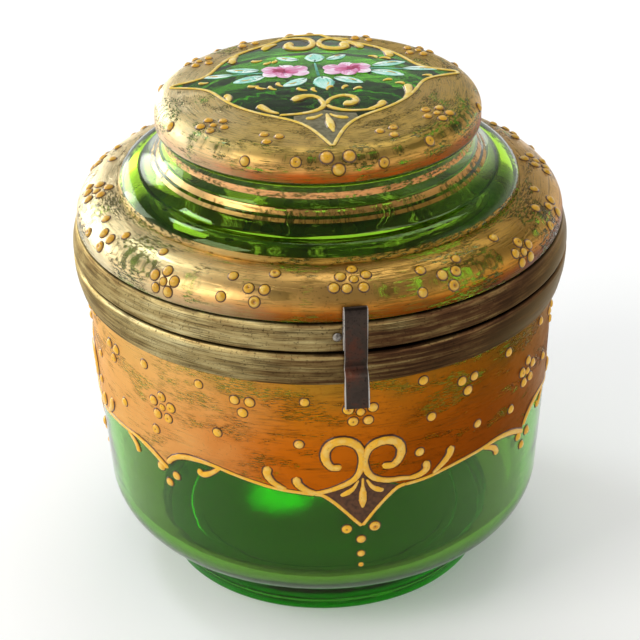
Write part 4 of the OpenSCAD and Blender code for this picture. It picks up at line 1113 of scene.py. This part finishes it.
# the disc's dots, round its edge and in groups beside the two pendants
discDotLook = dict(pendant=[(-4.2, 45), (3.6, 45), (-0.4, 10)],
                   singles=[(-32, 20), (-14.5, 32), (15, 14), (34.5, 38), (72, 24), (-70, 34)],
                   groups=[(three, 25.5, (33, 36.2)), (six, 53, (34, 36))])
discDots = Dots()
look = discDotLook
for back, side in enumerate((0, 180)):
    for x, angle in look["pendant"]:
        discDots.add(onEdge(side + x + layout["discTurn"] + 1.6, angle), 1.2, pitShare=0)
    for x, angle in look["singles"]:
        discDots.add(onEdge(side + x, angle), 0.95)
    for way in (-1, 1):
        for group, angle, reach in look["groups"]:
            for x, dy, share in group:
                place = turned(x, dy - reach[back], side + way * angle)
                discDots.add(onDiscTurned(*place), 0.9 * share)
discBeads = discDots.grow("discBeads", amberEnamel)
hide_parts("disc_edge_dots")
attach(discBeads, "lid")

# lines on the disc: window border, scrolls, pendant drops, hooks on the border
discLook = dict(
    scrolls=[([(-6.8, -10.2), (-6.2, -9.4), (-5.1, -8.6), (-3.6, -7.8), (-1.8, -7.9), (-0.5, -9.3), (0.1, -11.4),
               (0.3, -13.4),
               (-0.6, -15.5), (-2.5, -17.0), (-5.0, -17.8), (-7.9, -18.0), (-11.0, -17.9)],
              [1.3, 1.25, 0.85, 0.65, 0.6, 0.65, 0.7, 0.7, 0.65, 0.6, 0.5, 0.45, 0.4]),
             ([(5.0, -13.2), (6.7, -13.6), (8.2, -12.3), (8.3, -10.3), (7.2, -8.9), (5.3, -8.4), (3.2, -9.3),
               (1.8, -10.8), (1.0, -12.9)], [1.3, 1.15, 0.9, 0.8, 0.7, 0.65, 0.6, 0.6, 0.6]),
             ([(1.0, -13.7), (2.1, -15.4), (4.4, -16.9), (7.2, -17.5), (10.2, -17.4), (12.6, -17.0)],
              [0.6, 0.65, 0.6, 0.5, 0.45, 0.4]),
             ([(-3.4, 29.6), (-4.6, 28.9), (-4.9, 26.9), (-2.6, 25.3), (0.1, 25.9), (1.7, 29.0), (1.3, 32.4),
               (-0.6, 34.0), (-3.4, 34.4), (-7.4, 34.0)], [1.3, 1.3, 1.0, 0.95, 0.9, 0.8, 0.7, 0.6, 0.5, 0.4]),
             ([(8.6, 28.2), (9.8, 27.4), (9.6, 25.2), (7.2, 24.3), (4.6, 25.6), (3.3, 28.5), (4.0, 31.6), (6.0, 32.9),
               (8.6, 32.9), (11.6, 32.0)], [1.3, 1.3, 1.0, 0.95, 0.9, 0.8, 0.7, 0.6, 0.5, 0.4])],
    drops=[[(0.4, -18.6), (0.5, -20.6), (0.7, -24.2), (0.9, -27.0), (1.1, -28.8)],
           [(-0.5, -18.6), (-1.8, -19.9), (-3.3, -20.9), (-4.9, -20.8)],
           [(1.2, -18.6), (2.0, -20.0), (3.6, -21.2), (5.5, -21.5)]],
    dropWidths=[[0.3, 0.6, 1.1, 0.9, 0.25], [0.3, 0.5, 0.75, 0.6], [0.3, 0.5, 0.75, 0.6]],
    hooks=[[(-23.2, -3.6), (-22.6, -5.2), (-22.6, -7.4)],
           [(-15.6, -11.6), (-14.6, -13.4), (-13.0, -15.6), (-11.0, -17.0)],
           [(14.9, -12.7), (14.4, -14.6), (12.9, -16.0), (10.8, -17.0)],
           [(22.4, -3.0), (22.3, -6.0), (21.7, -8.8), (20.6, -11.1)],
           [(14.3, 24.5), (13.0, 27.0), (10.7, 29.4)], [(20.8, 17.1), (20.4, 20.1), (19.2, 23.2)],
           [(-11.7, 26.5), (-10.1, 28.6), (-7.8, 30.7)], [(-20.4, 17.8), (-19.9, 20.8), (-18.6, 23.9)]],
    hookWidths=[1.15, 1.0, 0.7, 0.45],
    tendrils=[(-12.4, 18.8, 200), (-10.4, 17.4, 230), (-9.0, 18.4, 250), (-12.8, -1.2, 160), (-10.4, -2.4, 130),
              (-14.6, 1.0, 185), (-8.6, -0.6, 120), (15.0, 18.2, 330), (17.6, 16.4, 350), (16.6, 0.2, 20),
              (19.4, -1.4, 350), (8.6, -4.8, 30), (6.0, -4.2, 60), (-2.8, -4.0, 150), (-0.6, -5.2, 110),
              (2.0, -4.4, 60), (-27.0, 6.0, 190), (27.0, 3.4, 350)],
    tendril=[(0, 0), (1.0, 0.35), (2.0, 0.2), (2.7, -0.5)], tendrilWidths=[0.22, 0.42, 0.6, 0.5])
discStrokes = Strokes()
look = discLook


def turnedRun(run, x, y, angle, size=1.0):
    return [(x + size * a, y + size * b) for a, b in (turned(*point, angle) for point in run)]


for run, widths in look["scrolls"]:
    strokeOn(discStrokes, run, onDiscTurned, widths, step=0.3)
for run, widths in zip(look["drops"], look["dropWidths"]):
    strokeOn(discStrokes, run, onDiscTurned, widths, step=0.25)
for run in look["hooks"]:
    strokeOn(discStrokes, run, onDiscTurned, look["hookWidths"], step=0.25)
for x, y, angle in look["tendrils"]:
    strokeOn(discStrokes, turnedRun(look["tendril"], x, y, angle, random.uniform(0.85, 1.15)), onDiscTurned,
             look["tendrilWidths"], step=0.25)
outline = [windowPoint(a) for a in np.arange(0.5, 360, 1.0)]
discStrokes.add([onDisc(x, y) for x, y in outline], [0.5 * random.uniform(0.93, 1.07) for _ in outline], closed=True)
# the painted spray: two plain blooms and their leaves, a few flat strokes each
# leaves are (x, y, way in degrees, length, half width), blooms (x, y, way)
sprayLook = dict(
    blooms=[(-7.4, 9.2, -1), (8.6, 9.0, 1)], stretch=(1.42, 0.94),
    petal=[(0.2, 0), (2.4, 0.35), (4.8, 0.1)], petalWidths=[0.7, 1.6, 2.2, 2.25, 1.7],
    inner=[(0.2, 0), (1.5, 0.3), (3.0, 0.1)], innerWidths=[0.6, 1.2, 1.4, 1.1],
    heart=[(-0.9, 0.25), (0, 0.5), (0.9, 0.2)], heartWidths=[0.25, 0.55, 0.5, 0.2],
    gleam=[(-1.0, 0.3), (0, 0.5), (1.1, 0.2)], gleamWidths=[0.12, 0.26, 0.2],
    leaves=[(0.8, 15.0, 90, 6.4, 2.5), (-3.2, 17.0, 152, 6.2, 1.5), (4.0, 16.4, 32, 6.2, 1.5),
            (1.6, 4.4, -86, 8.2, 2.7), (-2.4, 3.8, -146, 7.6, 1.9), (4.6, 3.4, -30, 8.0, 1.8),
            (-13.8, 11.4, 168, 8.6, 1.7), (-12.8, 6.8, 198, 8.6, 2.0), (-20.6, 9.4, 178, 8.2, 1.3), (15.2, 10.8, 14, 9.2, 1.7),
            (14.4, 7.0, -22, 8.8, 1.9), (22.6, 8.0, -3, 9.6, 1.4)],
    leafLayers=[(0.0, 1.0, [0.3, 0.85, 1.05, 0.8, 0.2], 0.5, 0.06),
                (0.42, 0.92, [0.15, 0.45, 0.55, 0.4, 0.1], 0.95, 0.14),
                (-0.45, 0.88, [0.15, 0.42, 0.5, 0.35, 0.1], 0.8, 0.14), (0.0, 0.8, [0.1, 0.1, 0.08], 0.08, 0.2)],
    stems=[[(-2.6, 9.2), (-10, 9.0), (-16, 9.6), (-21, 9.5)], [(3.0, 9.0), (10, 9.2), (17, 9.0), (23, 8.1)],
           [(0.9, 5.0), (0.8, 9.0), (0.8, 14.6)]], stemWidths=[0.45, 0.35, 0.25],
    dab=[(0.45, 0.25), (0.6, 0.3), (0.75, 0.1)], dabWidths=[0.1, 0.22, 0.12])
petalStrokes, leafStrokes = Strokes(), Strokes()
look = sprayLook
for run in look["stems"]:
    strokeOn(leafStrokes, run, onDiscTurned, look["stemWidths"], step=0.4, tone=0.2, raised=0.03)
for x, y, angle, length, half in look["leaves"]:
    bend = random.uniform(-0.06, 0.06) * length
    for side, share, widths, tone, raised in look["leafLayers"]:
        run = [(length * share * t, side * half * math.sin(math.pi * t ** 0.8) * 0.9 + bend * math.sin(math.pi * t))
               for t in (0, 0.3, 0.6, 0.85, 1)]
        strokeOn(leafStrokes, turnedRun(run, x, y, angle), onDiscTurned, [w * half for w in widths], step=0.35,
                 tone=tone + random.uniform(-0.06, 0.06), raised=raised)
    dab = [(length * along, half * across) for along, across in look["dab"]]
    strokeOn(discStrokes, turnedRun(dab, x, y, angle), onDiscTurned, look["dabWidths"], step=0.25, raised=0.22)

# a bloom is laid in rounds: stroke, count, first angle, how far that strays, distance out, shift, step, tones,
# height, rise from one stroke to the next
bloomRounds = [("petal", 6, 24, 7, 0.0, 0.0, 0.3, (0.62, 0.78, 0.5, 0.7), 0.1, 0.02),
               ("inner", 5, 60, 8, 0.3, 0.6, 0.3, (0.38, 0.55, 0.3), 0.3, 0.02),
               ("heart", 4, 30, 0, 0.7, 1.1, 0.25, (0.02, 0.1), 0.45, 0.02),
               ("gleam", 6, 20, 0, 3.3, 0.2, 0.25, (1.0,), 0.36, 0.0)]
for x, y, way in look["blooms"]:
    for key, count, first, stray, out, shift, step, tones, height, rise in bloomRounds:
        for i in range(count):
            angle = first + 360 / count * i + (random.uniform(-stray, stray) if stray else 0)
            petal = turnedRun(look[key], *turned(out, 0, angle), angle)
            run = [(x + way * (a + shift) * look["stretch"][0], y + b * look["stretch"][1]) for a, b in petal]
            strokeOn(petalStrokes, run, onDiscTurned, look[key + "Widths"], step=step, tone=tones[i % len(tones)],
                     raised=height + rise * i)
blooms = petalStrokes.grow("blooms", paintSection, petalPaint)
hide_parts("disc_blooms")
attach(blooms, "lid")
leaves = leafStrokes.grow("leaves", paintSection, leafPaint)
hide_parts("disc_leaves")
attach(leaves, "lid")
discLines = discStrokes.grow("discLines", lineSection, strawEnamel)
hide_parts("disc_border", "disc_scrolls", "disc_pendant_drops")
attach(discLines, "lid")

# grey ground inside the disc's front and back pendants, as rows of (place along, half width)
discGrounds = dict(
    frontGround=[(-35.8, 0.2), (-32, 1.6), (-29, 2.8), (-26, 4.6), (-23.4, 6.2), (-21.0, 7.8), (-19.0, 7.6),
                 (-18.2, 3.6), (-16.4, 0.2)],
    backGround=[(36.6, 0.2), (35.6, 1.2), (34.4, 2.2), (32.6, 1.0), (31.0, 0.1)])
for name, rows in discGrounds.items():
    grid = [[onDiscTurned(-half * t, y) for t in np.linspace(1, -1, 11)] for y, half in rows]
    ground = skinOver(name, grid, groundSkin["low"], groundSkin["high"], greyGround, closed=False)
    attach(ground, "lid")
for stock in (lineSection, paintSection, domeStock, pittedStock):
    bpy.data.objects.remove(stock)
print("raised enamel made")


# brass collars

collar = dict(r=64.1, taper=1.1, sheet=0.9, edge=1.0, flangeR=57.5, lowZ=90.0, lowH=9.2, highZ=90.4, highH=7.2)


def collarOutline(z0, way, h, glassR):
    # from the flange at z0 round the edge, down the face and back under the lip; way is 1 below, -1 above
    edge, sheet = collar["edge"], collar["sheet"]
    lip, lipR = z0 - way * h, collar["r"] - collar["taper"]

    def face(t, inset):
        return collar["r"] - collar["taper"] * (1 - t) ** 2 - inset, z0 - way * (edge + (1 - t) * (h - 2 * edge))

    outline = [(collar["flangeR"], z0 - way * sheet), (collar["flangeR"], z0)]
    outline += arc(collar["r"] - edge, z0 - way * edge, edge, way * edge, 90, 10, 9)
    outline += [face(t, 0) for t in np.linspace(1, 0, 15)]
    outline += arc(lipR - edge, lip + way * edge, edge, way * edge, -10, -90, 9)
    outline += [(glassR + 0.3, lip), (glassR + 0.3, lip + way * sheet), (lipR - sheet, lip + way * sheet)]
    return outline + [face(t, sheet) for t in np.linspace(0, 1, 9)] + [(collar["r"] - sheet, z0 - way * sheet)]


def dents(turn, z):
    # the sheet has been pressed and knocked a little out of round
    return -0.02 + 0.018 * math.sin(5 * turn + z * 0.5) * math.sin(9 * turn) + 0.012 * math.sin(23 * turn + 1.3 * z)


lowerCollar = lathe("lowerCollar", collarOutline(collar["lowZ"], 1, collar["lowH"], bowl["rimR"]), collarBrass,
                    closed=True, segments=240, sharp=50, wobble=dents)
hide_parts("lower_collar")
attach(lowerCollar, "box")
upperCollar = lathe("upperCollar", collarOutline(collar["highZ"], -1, collar["highH"], lid["rimR"]), collarBrass,
                    closed=True, segments=240, sharp=50, wobble=dents)
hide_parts("upper_collar")
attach(upperCollar, "lid")


# clasp: a strip bent over at the top, with a pinch and a thumb tab

clasp = dict(width=5.8, thick=0.8, back=0.7, loopY=64.97, loopZ=102.0, pinchY=64.85, pinchZ=87.1, tabZ=85.6,
             tabLen=8.6, round=0.22)


def strip(name, line, widths, thick, material):
    # line holds (distance to the front, height) along the middle, the section's corners are rounded
    line = np.array(line, float)
    ahead = np.gradient(line, axis=0)
    ahead /= np.linalg.norm(ahead, axis=1)[:, None]
    points, corner = [], clasp["round"]
    for (y, z), (dy, dz), half in zip(line, ahead, widths):
        for cx, cy, start in ((1, 1, 0), (-1, 1, 90), (-1, -1, 180), (1, -1, 270)):
            for turn in (0, 30, 60, 90):
                a = math.radians(start + turn)
                across = cx * (half - corner) + corner * math.cos(a)
                out = cy * (thick / 2 - corner) + corner * math.sin(a)
                points.append((across * mm, -(y + dz * out) * mm, (z - dy * out) * mm))
    count = len(points) // len(line)
    faces = [(i * count + k, i * count + (k + 1) % count, (i + 1) * count + (k + 1) % count, (i + 1) * count + k)
             for i in range(len(line) - 1) for k in range(count)]
    faces += [tuple(range(count)), tuple(range(len(points) - count, len(points)))]
    return makePiece(name, points, faces, material, sharp=40)


loop = arc(clasp["loopY"], clasp["loopZ"], -0.55, 0.55, 8, 180, 14)
bend = [(65.60, 98.0), (65.66, 95.0), (65.66, 92.0), (65.52, 89.6), (65.05, 88.0), (clasp["pinchY"], clasp["pinchZ"]),
        (65.16, 86.3), (65.82, 85.8), (66.28, 85.1), (66.5, 84.0), (66.6, 82.4), (66.85, 79.6),
        (67.15, clasp["tabZ"] - clasp["tabLen"])]
run, at = resampled([loop[-1]] + bend, 0.3)
line = loop[:-1] + [tuple(p) for p in run]
share = np.linspace(0, 1, len(line))
widths = clasp["width"] / 2 + 0.07 * np.sin(share * 9) + 0.12 * np.clip((share - 0.72) * 6, 0, 1) - 0.1
claspStrip = strip("claspStrip", line, widths, clasp["thick"], claspBrass)
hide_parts("clasp_strap")
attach(claspStrip, "clasp")
backY = 64.12 + clasp["back"] / 2
backLine = [(backY, z) for z in np.linspace(91.4, 101.7, 12)]
claspLeaf = strip("claspLeaf", backLine, [clasp["width"] / 2 - 0.03] * 12, clasp["back"], claspBrass)
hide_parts("clasp_back_leaf")
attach(claspLeaf, "lid")

# the pieces that stay as the source made them
finishes = {"hinge_lower_leaf": pinBrass, "hinge_upper_leaf": pinBrass, "hinge_pin": pinBrass,
            "clasp_solder": softSolder, "lower_bedding": agedPlaster, "upper_bedding": agedPlaster}
for node, finish in finishes.items():
    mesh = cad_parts[node].data
    mesh.materials.clear()
    mesh.materials.append(finish)
print("metal made")
# floor, light and camera

def seenPlainly(tree):
    # 1 for what the camera sees, straight, in metal or through glass
    path = addNode(tree, "ShaderNodeLightPath").outputs
    seen = mathOf(tree, "MAXIMUM", path["Is Camera Ray"], path["Is Glossy Ray"])
    return mathOf(tree, "MAXIMUM", seen, path["Is Transmission Ray"])


floorLook = dict(radius=6.0, sides=64, z=-0.00005, colour=(0.88, 0.88, 0.875, 1), lift=0.12, farLift=0.9,
                 liftFrom=0.35, liftTo=1.3)
material, tree = startMaterial("paleFloor")
matt = addNode(tree, "ShaderNodeBsdfDiffuse", {"Color": floorLook["colour"]})
# the far floor runs out into white, the near floor keeps the shadow
away = vectorOf(tree, "LENGTH", placeOf(tree))
lift = rangeOf(tree, away, floorLook["liftFrom"], floorLook["liftTo"], floorLook["lift"], floorLook["farLift"])
glow = addNode(tree, "ShaderNodeEmission", {
    "Color": (1, 1, 1, 1), "Strength": mathOf(tree, "MULTIPLY", seenPlainly(tree), lift)})
both = addNode(tree, "ShaderNodeAddShader", {0: matt.outputs[0], 1: glow.outputs[0]})
addNode(tree, "ShaderNodeOutputMaterial", {"Surface": both.outputs[0]})
ring = [(x, y, floorLook["z"]) for x, y in arc(
    0, 0, floorLook["radius"], floorLook["radius"], 0, 360, floorLook["sides"])[:-1]]
floor = makePiece("floor", ring, [tuple(range(len(ring)))], material, outward=False)

world = bpy.data.worlds.new("studio")
bpy.context.scene.world = world
world.use_nodes = True
tree = world.node_tree
tree.nodes.clear()
studio = dict(diffuse=0.62, ceiling=0.26, fadeFrom=0.16, fadeTo=0.5, window=(-0.5, 0.852, 0.155), windowFrom=0.95,
              windowTo=0.978, windowLight=5.0)
direction = addNode(tree, "ShaderNodeTexCoord").outputs["Generated"]
shade = rangeOf(tree, partsOf(tree, direction)[2], studio["fadeFrom"], studio["fadeTo"], 1.0, studio["ceiling"])
# a window that only gloss shows
toWindow = vectorOf(tree, "DOT_PRODUCT", direction, studio["window"])
pane = rangeOf(tree, toWindow, studio["windowFrom"], studio["windowTo"], 0.0, studio["windowLight"])
pane = mathOf(tree, "MULTIPLY", pane, addNode(tree, "ShaderNodeLightPath").outputs["Is Glossy Ray"])
shade = mathOf(tree, "MAXIMUM", shade, pane)
seen = seenPlainly(tree)
matt = mathOf(tree, "MULTIPLY", mathOf(tree, "SUBTRACT", 1.0, seen), studio["diffuse"])
background = addNode(tree, "ShaderNodeBackground", {
    "Color": (1, 1, 1, 1), "Strength": mathOf(tree, "MULTIPLY_ADD", shade, seen, matt)})
addNode(tree, "ShaderNodeOutputWorld", {"Surface": background.outputs[0]})


def addLamp(name, kind, place, target, power, **settings):
    data = bpy.data.lights.new(name, kind)
    data.energy = power
    for key, value in settings.items():
        setattr(data, key, value)
    lamp = bpy.data.objects.new(name, data)
    bpy.context.scene.collection.objects.link(lamp)
    lamp.location = place
    lamp.rotation_euler = (Vector(target) - Vector(place)).to_track_quat("-Z", "Y").to_euler()


# name, place, size, power, colour
lamps = [("keyLight", (-0.85, -0.35, 0.75), 0.5, 4.6, (1.0, 0.98, 0.94)),
         ("windowLight", (-0.95, 0.75, 0.34), 0.6, 4.2, (0.94, 0.98, 1.0)),
         ("fillLight", (0.85, -0.35, 0.5), 0.5, 0.45, (0.94, 0.97, 1.0)),
         ("topLight", (0.25, 0.5, 1.1), 0.6, 2.3, (1.0, 1.0, 0.98)),
         ("paneLight", (-0.43, 0.45, 0.86), 0.2, 1.3, (0.86, 0.95, 1.0))]
for name, place, size, power, colour in lamps:
    addLamp(name, "AREA", place, (0, 0, 0.06), power, shape="SQUARE", size=size, color=colour)

# a small spot inside, for the patch of light on the bottom
beam = dict(start=(-0.030, -0.022, 0.076), end=(-0.0112, 0.003, 0.0), spread=15, power=1.7, blend=0.9, soft=0.0015)
addLamp("beam", "SPOT", beam["start"], beam["end"], beam["power"], spot_size=math.radians(beam["spread"]),
        spot_blend=beam["blend"], shadow_soft_size=beam["soft"])

# the camera as it was fitted to the photograph's outline
shot = dict(target=0.060, elevation=29.761, distance=0.501291, lens=104.58, sensor=36.0, yaw=-0.043, pitch=0.315,
            roll=-1.019, turn=-6.9)
elevation = math.radians(shot["elevation"])
eye = Vector((0, -shot["distance"] * math.cos(elevation), shot["target"] + shot["distance"] * math.sin(elevation)))
ahead = Vector((0, math.cos(elevation), -math.sin(elevation)))
right = Vector((1, 0, 0))
up = right.cross(ahead)
yaw, pitch = math.tan(math.radians(shot["yaw"])), math.tan(math.radians(shot["pitch"]))
ahead = (ahead + yaw * right + pitch * up).normalized()
right = ahead.cross(Vector((0, 0, 1))).normalized()
up = right.cross(ahead)
roll = math.radians(shot["roll"])
right, up = math.cos(roll) * right + math.sin(roll) * up, math.cos(roll) * up - math.sin(roll) * right
pose = Matrix((right, up, -ahead)).transposed().to_4x4()
pose.translation = eye
cameraData = bpy.data.cameras.new("photoCamera")
cameraData.lens = shot["lens"]
cameraData.sensor_width = shot["sensor"]
cameraData.clip_start = 0.01
cameraData.dof.use_dof = False
camera = bpy.data.objects.new("photoCamera", cameraData)
bpy.context.scene.collection.objects.link(camera)
camera.matrix_world = Matrix.Rotation(math.radians(shot["turn"]), 4, "Z") @ pose
bpy.context.scene.camera = camera
bpy.context.scene.view_settings.view_transform = "Standard"
print("stage made")
